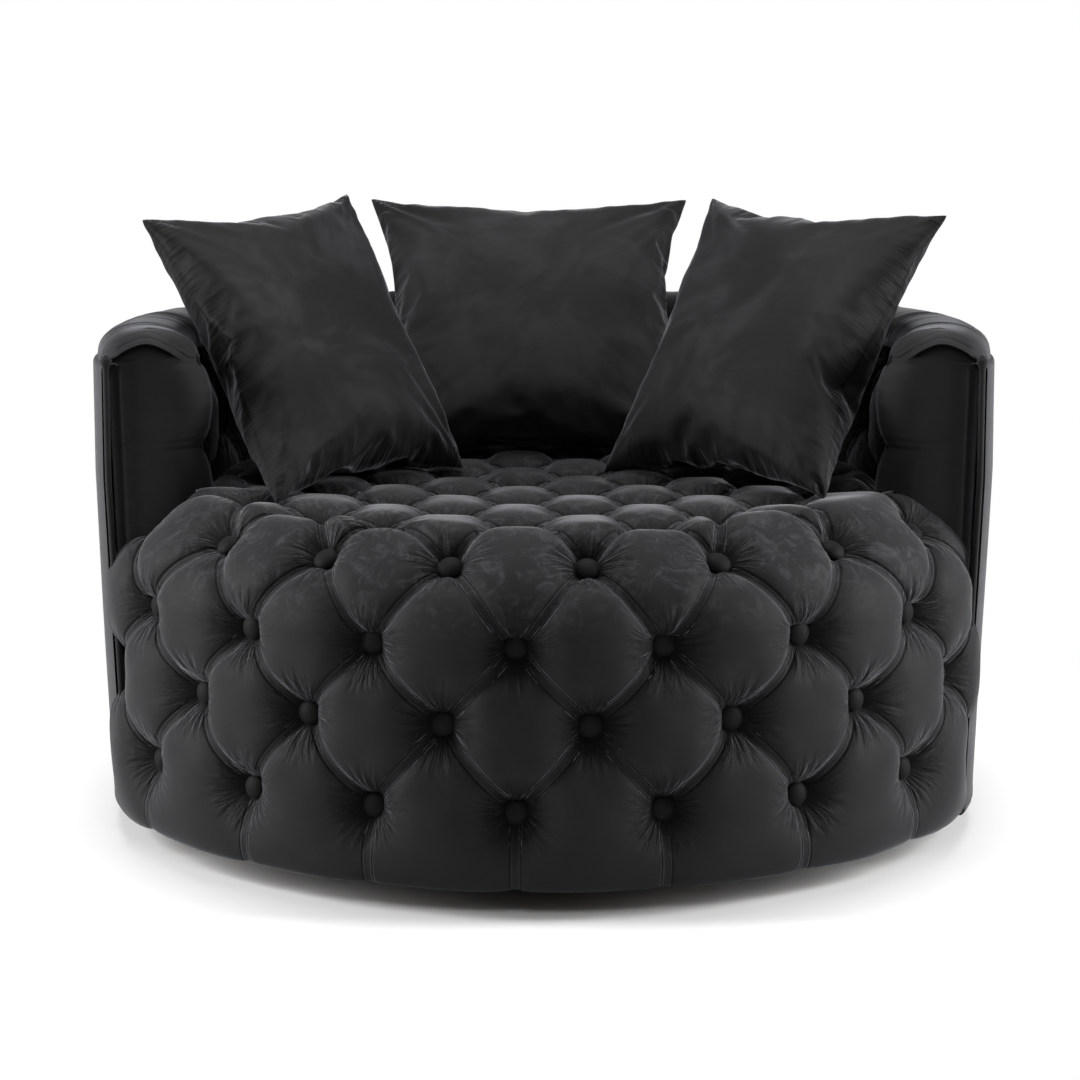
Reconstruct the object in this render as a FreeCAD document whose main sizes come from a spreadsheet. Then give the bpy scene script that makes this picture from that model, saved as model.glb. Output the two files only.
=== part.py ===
import FreeCAD, Part
import math
import os

# Round swivel cuddle chair, millimetres, +Z up, front towards -Y.
# The origin is on the floor, under the swivel axis.

Vector = FreeCAD.Vector
UP = Vector(0, 0, 1)

SIZES = (
    ("barrel_radius", 540, "outside of the barrel back"),
    ("barrel_height", 602, "crest of the rolled top edge"),
    ("skirt_gap", 30, "floor to the lowest edge of the upholstery"),
    ("outer_panel_thickness", 14, "padded outer cover of the barrel"),
    ("roll_depth", 40, "height of the rolled top edge"),
    ("welt_radius", 4, "piping round the arm fronts"),
    ("arm_front_setback", 175, "arm faces ahead of the swivel axis"),
    ("arm_front_depth", 36, "thickness of an arm's front pad"),
    ("arm_crown", 9, "bulge of an arm's front pad"),
    ("arm_fold_depth", 7, "pleat across an arm's front pad"),
    ("back_crest_radius", 410, "inside of the barrel at its fullest"),
    ("back_button_radius", 432, "inside of the barrel at its buttons"),
    ("back_pad_radius", 453, "back of the inner pad"),
    ("back_button_height", 464, "main row of buttons inside the barrel"),
    ("back_row_step", 84, "height from row to row inside the barrel"),
    ("frame_clearance", 0.5, "between the pads and the frame"),
    ("tuft_columns", 20, "buttons round the full circle in each row"),
    ("tuft_turn", -3.5, "degrees from the front to the nearest lower button"),
    ("drum_radius", 533, "seat front at its fullest"),
    ("drum_button_radius", 497, "seat front at its buttons"),
    ("hem_radius", 511, "lower edge of the seat front"),
    ("row_d_height", 115, "lowest row of buttons"),
    ("row_c_height", 209, "second row of buttons"),
    ("row_b_height", 294, "third row of buttons"),
    ("row_a_height", 370, "top row of buttons, on the shoulder"),
    ("row_a_radius", 464, "top row of buttons, on the shoulder"),
    ("seat_seam_radius", 430, "shoulder pad meets the top pad"),
    ("seat_crest_height", 420, "seat top at its fullest"),
    ("seat_button_height", 378, "seat top at its buttons"),
    ("seat_pad_bottom", 352, "underside of the tufted top pad"),
    ("seat_well_radius", 403, "rear half of the seat, inside the barrel"),
    ("seat_column_step", 145, "buttons side by side on the seat top"),
    ("seat_row_step", 79, "rows front to back on the seat top"),
    ("seat_column_offset", 42, "a button column from the middle"),
    ("button_radius", 14, "covered button"),
    ("button_height", 8, "covered button"),
    ("plinth_radius", 330, "round base board"),
    ("plinth_thickness", 18, "round base board"),
    ("glide_radius", 20, "floor glide"),
    ("glide_height", 6, "floor glide"),
    ("glide_circle", 300, "circle of floor glides"),
    ("race_size", 304, "side of the square bearing plates"),
    ("race_thickness", 2.5, "bearing plate"),
    ("race_corner", 24, "rounded corner of a bearing plate"),
    ("roller_radius", 4.5, "nylon roller"),
    ("roller_length", 14, "nylon roller"),
    ("roller_circle", 118, "middle of the rollers from the axis"),
    ("roller_count", 8, "rollers in the cage"),
    ("cage_thickness", 4, "ring that spaces the rollers"),
    ("cage_width", 26, "ring that spaces the rollers"),
    ("king_pin_radius", 9, "hollow pin on the swivel axis"),
    ("king_pin_bore", 6, "hole up the hollow pin"),
    ("running_clearance", 0.05, "pin and rollers to what they run on"),
    ("bolt_radius", 3, "bolts of the bearing plates"),
    ("bolt_head_radius", 5.5, "bolt heads"),
    ("bolt_head_height", 2.4, "bolt heads"),
    ("bolt_pitch", 250, "side of the square of bearing bolts"),
    ("bolt_grip", 14, "length of a bolt in the board"),
    ("board_thickness", 18, "plywood boards and hoops"),
    ("seat_frame_radius", 452, "front of the seat's boards"),
    ("seat_hoop_width", 60, "width of the seat's top hoop"),
    ("seat_hoop_top", 316, "upper face of the seat's top hoop"),
    ("seat_post_size", 38, "square timber posts"),
    ("front_skin_thickness", 5, "bent panel behind the seat front pad"),
    ("webbing_width", 60, "elastic webbing"),
    ("webbing_thickness", 2, "elastic webbing"),
    ("webbing_step", 105, "elastic webbing, middle to middle"),
    ("foam_margin", 6, "seat foam inside its cover"),
    ("barrel_taper", 15, "how far the barrel draws in at its foot"),
    ("barrel_post_count", 9, "uprights of the barrel"),
    ("barrel_post_width", 45, "uprights of the barrel"),
    ("join_bolt_radius", 4, "bolts that hold the barrel to the seat"),
    ("join_bolt_circle", 380, "barrel bracket bolts from the axis"),
    ("join_nut_height", 6, "nuts of the barrel's bolts"),
    ("bracket_thickness", 3, "steel brackets of the barrel"),
    ("bracket_width", 40, "steel brackets of the barrel"),
    ("dust_cover_thickness", 1, "black cloth under the seat"),
    ("pillow_crown", 66, "front and back of a loose pillow"),
    ("pillow_draw", 15, "how far a pillow's sides draw in"),
    ("pillow_cover_wall", 4, "velvet and lining round the filling"),
    ("pillow_edge", 24, "how far the filling stops short of a pillow's seams"),
)

PILLOW_STRIPS = 8
PUFF_FACETS = 4
BUTTON_FLATS = 8
BOLT_FLATS = 8
ROLL_FACETS = 8
JOIN_ANGLES = (129, 165, 195, 231)

document = FreeCAD.newDocument("cuddle_chair")
sheet = document.addObject("Spreadsheet::Sheet", "Sizes")
for row, (alias, value, note) in enumerate(SIZES, start=1):
    sheet.set(f"A{row}", alias)
    sheet.set(f"B{row}", str(value))
    sheet.set(f"C{row}", note)
    sheet.setAlias(f"B{row}", alias)
document.recompute()

nodes = []


def size(alias):
    return float(sheet.get(alias))


def keep(item, label):
    """Name a finished piece; its label is its file's name."""
    item.Label = label
    nodes.append(item)
    return item


def keep_shape(shape, label):
    item = document.addObject("Part::Feature", label)
    item.Shape = shape
    item.Placement = FreeCAD.Placement()
    return keep(item, label)


def primitive(kind, name, **formulas):
    """A primitive whose sizes and place are formulas on the sheet."""
    item = document.addObject(kind, name)
    for key, formula in formulas.items():
        target = f"Placement.Base.{key}" if key in ("x", "y", "z") else key
        item.setExpression(target, formula)
    return item


def cut(name, base, tool):
    item = document.addObject("Part::Cut", name)
    item.Base = base
    item.Tool = tool
    return item


def polar(radius, angle, height):
    """A point at an angle from the front, positive towards +X."""
    turn = math.radians(angle)
    return Vector(radius * math.sin(turn), -radius * math.cos(turn), height)


def arc(start, middle, end):
    return Part.Arc(start, middle, end).toShape()


def line(start, end):
    return Part.makeLine(start, end)


def along_arc(start, middle, end):
    """Points evenly spaced along the arc through three points."""
    return arc(start, middle, end).discretize(Number=PUFF_FACETS + 1)


def along_line(start, end):
    return [between(start, end, n / PUFF_FACETS) for n in range(PUFF_FACETS + 1)]


def between(first, second, share=0.5):
    return first + (second - first) * share


def facet(*corners):
    return Part.Face(Part.makePolygon(list(corners) + [corners[0]]))


def ruled(first, second, turned=()):
    """Flat facets between two rows of points; a row's end that both share makes one facet fewer.
    Turned lists the cells that are split along their other diagonal."""
    faces = []
    for n in range(len(first) - 1):
        low, high, far_low, far_high = first[n], first[n + 1], second[n], second[n + 1]
        if n in turned:
            faces += [facet(low, high, far_high), facet(low, far_high, far_low)]
            continue
        if low.distanceToPoint(far_low) > 1e-6:
            faces.append(facet(low, high, far_low))
        if high.distanceToPoint(far_high) > 1e-6:
            faces.append(facet(high, far_high, far_low))
    return faces


def fan(tip, row):
    """Flat facets between a point and a row of points."""
    return [facet(tip, row[n], row[n + 1]) for n in range(len(row) - 1)]


def closed_solid(faces):
    """Sew faces into a solid whose faces point outwards."""
    shell = Part.makeShell(faces)
    shell.sewShape()
    solid = Part.makeSolid(shell if shell.ShapeType == "Shell" else shell.Shells[0])
    outside = solid.BoundBox.Center + Vector(1, 1, 1) * solid.BoundBox.DiagonalLength
    if solid.isInside(outside, 1e-3, False):
        solid.reverse()
    return solid


def block(low, high):
    span = high - low
    return Part.makeBox(span.x, span.y, span.z, low)


def tube(outer, inner, low, high):
    """An upright ring."""
    ring = Part.makeCylinder(outer, high - low, Vector(0, 0, low))
    return ring.cut(Part.makeCylinder(inner, high - low, Vector(0, 0, low)))


def ahead_of(y_limit, reach):
    """The space in front of a plane across the chair."""
    return block(Vector(-reach, -reach, -reach), Vector(reach, y_limit, reach))


def behind(y_limit, reach):
    return block(Vector(-reach, y_limit, -reach), Vector(reach, reach, reach))


# Heights that stack up from the floor
glide_top = size("glide_height")
plinth_top = glide_top + size("plinth_thickness")
lower_race_top = plinth_top + size("race_thickness")
roller_middle = lower_race_top + size("running_clearance") + size("roller_radius")
upper_race_bottom = roller_middle + size("roller_radius") + size("running_clearance")
board_bottom = upper_race_bottom + size("race_thickness")
board_top = board_bottom + size("board_thickness")
hoop_bottom = size("seat_hoop_top") - size("board_thickness")
webbing_top = size("seat_hoop_top") + 2 * size("webbing_thickness")
well_frame_radius = size("seat_well_radius") - size("frame_clearance")
drum_pad_radius = size("seat_frame_radius") + size("front_skin_thickness") + size("frame_clearance")
panel_radius = size("barrel_radius") - size("outer_panel_thickness")
barrel_frame_inner = size("back_pad_radius") + size("frame_clearance")
barrel_frame_outer = panel_radius - size("barrel_taper") - size("frame_clearance")
barrel_top_face = size("barrel_height") - size("roll_depth")
arm_face = -size("arm_front_setback")
arm_back = arm_face + size("arm_front_depth")
reach = 2 * size("barrel_radius")
BOARD_BOTTOM = "Sizes.glide_height + Sizes.plinth_thickness + 2 * Sizes.race_thickness" \
    " + 2 * Sizes.roller_radius + 2 * Sizes.running_clearance"


# Base that stays on the floor
def square_places(half):
    return [Vector(x, y, 0) for x in (-half, half) for y in (-half, half)]


def origin_plane(body, role):
    for feature in body.Origin.OriginFeatures:
        if feature.Role == role:
            return feature
    raise ValueError(role)


def sketch_on_floor(body, name, height):
    sketch = body.newObject("Sketcher::SketchObject", name)
    sketch.AttachmentSupport = [(origin_plane(body, "XY_Plane"), "")]
    sketch.MapMode = "FlatFace"
    sketch.setExpression("AttachmentOffset.Base.z", height)
    return sketch


def add_circle(sketch, x, y, alias):
    """A circle that takes its radius and its place from the sheet."""
    import Sketcher
    index = sketch.addGeometry(Part.Circle(Vector(1, 1, 0), UP, 1), False)
    for kind, formula, tag in (("Radius", alias, "radius"), ("DistanceX", x, "x"), ("DistanceY", y, "y")):
        if kind == "Radius":
            number = sketch.addConstraint(Sketcher.Constraint(kind, index, 1.0))
        else:
            number = sketch.addConstraint(Sketcher.Constraint(kind, -1, 1, index, 3, 1.0))
        sketch.renameConstraint(number, f"{tag}_{index}")
        sketch.setExpression(f"Constraints.{tag}_{index}", formula)


def make_plinth():
    body = document.addObject("PartDesign::Body", "PlinthBody")
    sketch = sketch_on_floor(body, "PlinthOutline", "Sizes.glide_height")
    add_circle(sketch, "0 * Sizes.plinth_radius", "0 * Sizes.plinth_radius", "Sizes.plinth_radius")
    pad = body.newObject("PartDesign::Pad", "PlinthPad")
    pad.Profile = sketch
    pad.setExpression("Length", "Sizes.plinth_thickness")
    document.recompute()
    rounding = body.newObject("PartDesign::Chamfer", "PlinthEdge")
    rounding.Base = (pad, upper_edge(pad.Shape, plinth_top))
    rounding.setExpression("Size", "Sizes.plinth_thickness / 6")
    body.Tip = rounding
    document.recompute()
    full = document.addObject("Part::Feature", "PlinthBolts")
    full.Shape = bearing_bolts_at(plinth_top, -1)
    return keep(cut("PlinthDrilled", body, full), "base_plinth")


def upper_edge(shape, height):
    """The name of the one round edge at a height."""
    return [f"Edge{number}" for number, edge in enumerate(shape.Edges, start=1)
            if abs(edge.BoundBox.ZMin - height) < 1e-6 and abs(edge.BoundBox.ZMax - height) < 1e-6]


def prism(flats, radius, height, foot, axis):
    """An upright of a few flats, for what is small and round."""
    points = []
    for n in range(flats):
        turn = 2 * math.pi * n / flats
        points.append(Vector(radius * math.cos(turn), radius * math.sin(turn), 0))
    shape = facet(*points).extrude(UP * height)
    shape.Placement = FreeCAD.Placement(foot, FreeCAD.Rotation(UP, axis))
    return shape


def bolt(foot, axis, grip):
    """Its head's underside is at the foot, and its shank points along the axis."""
    shank = prism(BOLT_FLATS, size("bolt_radius"), grip, foot, axis)
    head = prism(6, size("bolt_head_radius"), size("bolt_head_height"), foot, axis * -1)
    return shank.fuse(head).removeSplitter()


def bearing_bolts_at(face, sign):
    """Four bolts that run into a board from its face; sign is the way they point."""
    plate = size("race_thickness")
    bolts = []
    for place in square_places(size("bolt_pitch") / 2):
        foot = Vector(place.x, place.y, face - sign * plate)
        bolts.append(bolt(foot, UP * sign, size("bolt_grip") + plate))
    return Part.makeCompound(bolts)


def make_glides():
    glide = Part.makeCylinder(size("glide_radius"), size("glide_height"))
    places = [Vector(0, 0, 0)] + [polar(size("glide_circle"), 30 + 60 * n, 0) for n in range(6)]
    keep_shape(Part.makeCompound([moved(glide, place) for place in places]), "floor_glides")


def moved(shape, place):
    copy = shape.copy()
    copy.translate(place)
    return copy


def make_race(label, height, hole, bolts):
    """A square bearing plate with rounded corners."""
    plate = primitive("Part::Box", label + "_blank", Length="Sizes.race_size", Width="Sizes.race_size",
                      Height="Sizes.race_thickness", x="-Sizes.race_size / 2", y="-Sizes.race_size / 2", z=height)
    document.recompute()
    rounded = document.addObject("Part::Fillet", label + "_rounded")
    rounded.Base = plate
    upright = [n for n, edge in enumerate(plate.Shape.Edges, start=1)
               if abs(edge.Vertexes[0].X - edge.Vertexes[1].X) < 1e-6
               and abs(edge.Vertexes[0].Y - edge.Vertexes[1].Y) < 1e-6]
    rounded.Edges = [(n, size("race_corner"), size("race_corner")) for n in upright]
    tool = document.addObject("Part::Feature", label + "_holes")
    tool.Shape = hole.fuse(bolts.Solids)
    return keep(cut(label + "_plate", rounded, tool), label)


def make_bearing():
    lower_bolts = bearing_bolts_at(plinth_top, -1)
    upper_bolts = bearing_bolts_at(board_bottom, 1)
    pin_low = plinth_top
    pin_top = board_bottom - size("frame_clearance")
    pin = Part.makeCylinder(size("king_pin_radius"), pin_top - pin_low, Vector(0, 0, pin_low))
    flange_height = upper_race_bottom - lower_race_top - 4 * size("running_clearance")
    flange = Part.makeCylinder(size("king_pin_radius") * 2, flange_height, Vector(0, 0, lower_race_top))
    bore = Part.makeCylinder(size("king_pin_bore"), pin_top - pin_low, Vector(0, 0, pin_low))
    keep_shape(pin.fuse(flange).cut(bore).removeSplitter(), "king_pin")
    lower_hole = Part.makeCylinder(size("king_pin_radius"), size("race_thickness"), Vector(0, 0, plinth_top))
    loose = size("king_pin_radius") + size("running_clearance")
    upper_hole = Part.makeCylinder(loose, size("race_thickness"), Vector(0, 0, upper_race_bottom))
    make_race("lower_bearing_plate", "Sizes.glide_height + Sizes.plinth_thickness", lower_hole, lower_bolts)
    make_race("upper_bearing_plate", BOARD_BOTTOM + " - Sizes.race_thickness", upper_hole, upper_bolts)
    keep_shape(lower_bolts, "plinth_bolts")
    keep_shape(upper_bolts, "seat_bolts")
    rollers = []
    pockets = []
    for number in range(int(size("roller_count"))):
        angle = 360 * number / size("roller_count")
        inner = size("roller_circle") - size("roller_length") / 2
        foot = polar(inner, angle, roller_middle)
        outward = polar(1, angle, 0)
        rollers.append(Part.makeCylinder(size("roller_radius"), size("roller_length"), foot, outward))
        half = Vector(size("roller_radius"), size("roller_length") / 2, size("cage_thickness"))
        half += Vector(1, 1, 1) * size("running_clearance")
        pocket = block(half * -1, half)
        pocket.rotate(Vector(0, 0, 0), UP, angle)
        pockets.append(moved(pocket, polar(size("roller_circle"), angle, roller_middle)))
    half_ring = size("cage_width") / 2
    half_thick = size("cage_thickness") / 2
    ring = tube(size("roller_circle") + half_ring, size("roller_circle") - half_ring,
                roller_middle - half_thick, roller_middle + half_thick)
    keep_shape(ring.cut(pockets), "roller_cage")
    keep_shape(Part.makeCompound(rollers), "bearing_rollers")


# Seat: boards, hoop, posts, webbing and foam
def keyhole(front, rear, low, high):
    """The seat's outline: a half disc ahead of the arms and a smaller disc between them."""
    gap = size("frame_clearance")
    disc = Part.makeCylinder(front, high - low, Vector(0, 0, low))
    well = Part.makeCylinder(rear, high - low, Vector(0, 0, low))
    return disc.common(ahead_of(arm_face - gap, reach)).fuse(well).removeSplitter()


def make_seat_frame():
    front = size("seat_frame_radius")
    board = keyhole(front, well_frame_radius, board_bottom, board_top)
    board = board.cut(bearing_bolts_at(board_bottom, 1).Solids).cut(join_bolts())
    keep_shape(board, "seat_board")
    hoop = keyhole(front, well_frame_radius, hoop_bottom, size("seat_hoop_top"))
    opening = Part.makeCylinder(well_frame_radius - size("seat_hoop_width"), size("board_thickness"),
                                Vector(0, 0, hoop_bottom))
    keep_shape(hoop.cut(opening), "seat_top_hoop")
    half = size("seat_post_size") / 2
    posts = []
    places = [(front - 2 * half, angle) for angle in (-56, -28, 0, 28, 56)]
    places += [(well_frame_radius - 2 * half, angle) for angle in (-84, -112, -146, 180, 146, 112, 84)]
    for radius, angle in places:
        post = block(Vector(-half, -half, board_top), Vector(half, half, hoop_bottom))
        post.rotate(Vector(0, 0, 0), UP, angle)
        posts.append(moved(post, polar(radius, angle, 0)))
    keep_shape(Part.makeCompound(posts), "seat_posts")
    skin = tube(front + size("front_skin_thickness"), front, board_bottom, size("seat_hoop_top"))
    keep_shape(skin.common(ahead_of(arm_face - size("frame_clearance"), reach)), "seat_front_skin")


def make_webbing():
    width = size("webbing_width")
    thick = size("webbing_thickness")
    outline = keyhole(size("seat_frame_radius") - size("frame_clearance"),
                      well_frame_radius - size("frame_clearance"), size("seat_hoop_top"), webbing_top)
    step = size("webbing_step")
    count = int((well_frame_radius - width) // step)
    for label, level, along in (("webbing_lengthwise", 0, False), ("webbing_crosswise", 1, True)):
        low = size("seat_hoop_top") + level * thick
        straps = []
        for number in range(-count, count + 1):
            middle = number * step
            strap = block(Vector(middle - width / 2, -reach, low), Vector(middle + width / 2, reach, low + thick))
            if along:
                strap.rotate(Vector(0, 0, 0), UP, 90)
            straps += strap.common(outline).Solids
        keep_shape(Part.makeCompound(straps), label)


def make_foam():
    margin = size("foam_margin")
    foam = keyhole(size("seat_seam_radius") - margin, size("seat_well_radius") - margin,
                   webbing_top, size("seat_pad_bottom"))
    keep_shape(foam, "seat_foam")


# Diamond tufting: each puff runs between four buttons and is ruled from arc to arc
def puff(west, east, south, north, sides, crest):
    """Facets of one puff: west, east, south and north are its buttons, and each side has its own arc."""
    middle = along_arc(south, crest, north)
    left, right = [along_arc(*side) for side in sides]
    return ruled(left, middle) + ruled(middle, right) + fan(west, left) + fan(east, right)


def make_seat_top():
    """Planar diamonds, cut to the keyhole outline."""
    step_x = size("seat_column_step") / 2
    step_y = size("seat_row_step")
    low = size("seat_button_height")
    crest = size("seat_crest_height")
    fold = low + (crest - low) * 0.42
    shoulder = low + (crest - low) * 0.86
    base = size("seat_pad_bottom")
    front = size("row_a_radius")
    columns = int(size("barrel_radius") // step_x) + 1
    rows = int(2 * front // step_y) + 2

    def place(column, row, height):
        return Vector(size("seat_column_offset") + column * step_x, -front + row * step_y, height)

    faces = []
    for column in range(-columns, columns):
        for row in range(-1, rows):
            if (column + row) % 2 == 0:
                continue
            west = place(column - 1, row, low)
            east = place(column + 1, row, low)
            south = place(column, row - 1, low)
            north = place(column, row + 1, low)
            sides = []
            for shift in (-0.5, 0.5):
                sides.append((place(column + shift, row - 0.5, fold), place(column + shift, row, shoulder),
                              place(column + shift, row + 0.5, fold)))
            faces += puff(west, east, south, north, sides, place(column, row, crest))
    walls = []
    outline = []
    for edge in free_edges(faces):
        start, end = [vertex.Point for vertex in edge.Vertexes]
        low_start = Vector(start.x, start.y, base)
        low_end = Vector(end.x, end.y, base)
        walls.append(facet(start, end, low_end, low_start))
        outline.append(line(low_start, low_end))
    rings = [Part.Wire(chain) for chain in Part.sortEdges(outline)]
    rings.sort(key=lambda ring: ring.BoundBox.DiagonalLength)
    floor_face = Part.Face(rings[-1])
    block_of_puffs = closed_solid(faces + walls + [floor_face])
    gap = size("frame_clearance")
    trim = keyhole(size("seat_seam_radius") - gap, size("seat_well_radius") - gap, base, 2 * crest)
    keep_shape(block_of_puffs.common(trim), "seat_top_pad")


def edge_key(edge):
    points = sorted(tuple(round(value, 4) for value in vertex.Point) for vertex in edge.Vertexes)
    return tuple(points)


def free_edges(faces):
    """The edges that only one face has."""
    seen = {}
    for face in faces:
        for edge in face.Edges:
            if edge.Length > 1e-6 and len(edge.Vertexes) == 2:
                seen.setdefault(edge_key(edge), []).append(edge)
    return [edges[0] for edges in seen.values() if len(edges) == 1]


def along(points):
    """One stretch of an upright section: straight between two points, or an arc through three."""
    return along_line(*points) if len(points) == 2 else along_arc(*points)


def polar_pad(sections, backs):
    """A pad round the swivel axis. A section is its angle, a kind and its stretches, from the bottom up.
    Kind 0 has a button where its first stretch ends, kind 2 where its second one starts the middle row,
    and the quarter sections between them have one stretch more than the poorer of the two."""
    faces = []
    rows = []
    for angle, stretches in sections:
        rows.append([along([polar(radius, angle, height) for radius, height in stretch]) for stretch in stretches])
    for number in range(len(sections) - 1):
        here, there = rows[number], rows[number + 1]
        faces += between_sections(here, there)
        angles = (sections[number][0], sections[number + 1][0])
        ring = [[rows[number + side][-1][-1]] + [polar(radius, angles[side], height) for radius, height in backs]
                + [rows[number + side][0][0]] for side in (0, 1)]
        faces += ruled(ring[0], ring[1])
    for number in (0, -1):
        angle = sections[number][0]
        outline = [point for row in rows[number] for point in row[:-1]] + [rows[number][-1][-1]]
        faces.append(facet(*outline, *[polar(radius, angle, height) for radius, height in backs]))
    return closed_solid(faces)


def between_sections(here, there):
    """Join two neighbouring sections; where one has a stretch more, that one ends at the other's button."""
    if len(here) == len(there):
        return [face for low, high in zip(here, there) for face in ruled(low, high)]
    poor, rich = (here, there) if len(here) < len(there) else (there, here)
    best = min(range(1, len(rich) - 1), key=lambda n: abs(middle_height(rich[n]) - poor[n - 1][-1].z))
    faces = []
    for number, row in enumerate(rich):
        if number == best:
            faces += fan(poor[number - 1][-1], row)
        else:
            faces += ruled(poor[number if number < best else number - 1], row)
    return faces


def middle_height(row):
    return (row[0].z + row[-1].z) / 2


def make_drum():
    """The seat's front and shoulder: diamonds round the drum, and a pleat from each low button to the hem."""
    deep = size("drum_button_radius")
    full = size("drum_radius")
    relief = full - deep
    fold = deep + relief * 0.4
    shoulder = deep + relief * 0.86
    seam = size("seat_seam_radius")
    crest = size("seat_crest_height")
    hem = size("hem_radius")
    low = size("skirt_gap")
    row_d, row_c, row_b, row_a = [size(f"row_{name}_height") for name in "dcba"]
    top_button = (size("row_a_radius"), row_a)
    fold_dc = (fold, between(row_d, row_c))
    fold_cb = (fold, between(row_c, row_b))
    fold_ba = (fold - relief / 2, between(row_b, row_a) + 4)
    drop = crest - row_a
    button_column = (((hem - relief / 4, low), (deep, row_d)),
                     ((deep, row_d), (full, row_c), (deep, row_b)),
                     ((deep, row_b), (full - relief / 2, crest - drop * 0.76), (seam, crest - drop * 0.1)))
    quarter_column = (((hem - relief / 12, low), (shoulder, between(low, row_d)), fold_dc),
                      (fold_dc, (shoulder, row_c), fold_cb),
                      (fold_cb, (shoulder, row_b), fold_ba),
                      (fold_ba, (shoulder - relief * 0.75, crest - drop * 0.62), (seam, crest - drop * 0.2)))
    other_column = (((hem, low), (full, row_d), (deep, row_c)),
                    ((deep, row_c), (full, row_b), top_button),
                    (top_button, (between(seam, top_button[0]), crest - drop * 0.5), (seam, crest - drop * 0.34)))
    kinds = (button_column, quarter_column, other_column, quarter_column)
    quarter = 90 / size("tuft_columns")
    steps = range(-int(size("tuft_columns")), int(size("tuft_columns")) + 1)
    sections = [(size("tuft_turn") + step * quarter, kinds[step % 4]) for step in steps]
    backs = ((seam, webbing_top), (drum_pad_radius, webbing_top), (drum_pad_radius, low))
    pad = polar_pad(sections, backs)
    keep_shape(pad.common(ahead_of(arm_face - size("frame_clearance"), reach)), "seat_front_pad")


def make_back_pad():
    """Diamonds round the inside of the barrel, and upright pleats from the upper row to the roll."""
    near = size("back_crest_radius")
    deep = size("back_button_radius")
    relief = deep - near
    fold = deep - relief * 0.4
    shoulder = deep - relief * 0.86
    back = size("back_pad_radius")
    row = size("back_button_height")
    step_z = size("back_row_step")
    low_row, high_row = row - step_z, row + step_z
    top = barrel_top_face - size("frame_clearance")
    bottom = size("seat_pad_bottom") - size("seat_post_size") / 2
    foot = (deep - relief / 8, bottom)
    fold_low = (fold, between(low_row, row))
    fold_high = (fold, between(row, high_row))
    button_column = ((foot, (near + relief / 5, low_row), (deep, row)),
                     ((deep, row), (near, high_row), (near + relief * 0.6, top)))
    quarter_column = ((foot, (shoulder, low_row), fold_low),
                      (fold_low, (shoulder, row), fold_high),
                      (fold_high, (shoulder, high_row), (near + relief * 0.7, top)))
    other_column = ((foot, (deep, low_row)),
                    ((deep, low_row), (near, row), (deep, high_row)),
                    ((deep, high_row), (near + relief * 0.85, top)))
    kinds = (button_column, quarter_column, other_column, quarter_column)
    quarter = 90 / size("tuft_columns")
    ahead = math.ceil(math.degrees(math.asin(-arm_back / near)) / quarter)
    steps = range(-ahead, int(2 * size("tuft_columns")) + ahead + 1)
    sections = [(90 + step * quarter, kinds[step % 4]) for step in steps]
    pad = polar_pad(sections, ((back, top), (back, bottom)))
    keep_shape(pad.common(behind(arm_back + size("frame_clearance"), reach)), "back_inner_pad")


# Covered buttons
def button_at(place, outward):
    """A low domed button; its back lies on the pad."""
    rings = []
    for height, radius in ((0, size("button_radius")), (size("button_height"), 0.6 * size("button_radius"))):
        turns = [2 * math.pi * number / BUTTON_FLATS for number in range(BUTTON_FLATS + 1)]
        rings.append([Vector(radius * math.cos(turn), radius * math.sin(turn), height) for turn in turns])
    shape = closed_solid([facet(*ring[:-1]) for ring in rings] + ruled(*rings))
    shape.Placement = FreeCAD.Placement(place, FreeCAD.Rotation(UP, outward))
    return shape


def make_buttons():
    quarter = 90 / size("tuft_columns")
    turn = size("tuft_turn")
    gap = size("frame_clearance") / 2
    seat = size("drum_button_radius") + gap
    limit = arm_face - 1.6 * size("button_radius")
    rows = (("seat_row_lower", "row_d_height", 0), ("seat_row_second", "row_c_height", 2),
            ("seat_row_third", "row_b_height", 0), ("seat_row_top", "row_a_height", 2))
    for label, alias, offset in rows:
        shapes = []
        for column in range(-5, 6):
            angle = turn + (4 * column + offset) * quarter
            if label == "seat_row_top":
                tilt = math.radians(52)
                normal = polar(math.cos(tilt), angle, math.sin(tilt))
                place = polar(size("row_a_radius"), angle, size(alias)) + normal * gap
            else:
                normal = polar(1, angle, 0)
                place = polar(seat, angle, size(alias))
            if place.y < limit:
                shapes.append(button_at(place, normal))
        keep_shape(Part.makeCompound(shapes), label + "_buttons")
    inside = []
    deep = size("back_button_radius") - gap
    for row, offset in ((0, 0), (1, 2)):
        height = size("back_button_height") + row * size("back_row_step")
        for column in range(-1, int(size("tuft_columns") / 2) + 2):
            angle = 90 + (4 * column + offset) * quarter
            place = polar(deep, angle, height)
            if place.y > arm_back + 1.2 * size("button_radius"):
                inside.append(button_at(place, polar(-1, angle, 0)))
    keep_shape(Part.makeCompound(inside), "back_buttons")
    top = []
    step_x = size("seat_column_step") / 2
    step_y = size("seat_row_step")
    edge = size("seat_seam_radius") - 1.8 * size("button_radius")
    well = size("seat_well_radius") - 1.8 * size("button_radius")
    front = size("row_a_radius")
    for row in range(1, int(2 * front // step_y) + 1):
        for column in range(-12, 13):
            if (column + row) % 2:
                continue
            place = Vector(size("seat_column_offset") + column * step_x, -front + row * step_y,
                           size("seat_button_height") + gap)
            if math.hypot(place.x, place.y) < (edge if place.y < 1.5 * arm_face else well):
                top.append(button_at(place, UP))
    keep_shape(Part.makeCompound(top), "seat_top_buttons")


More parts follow.
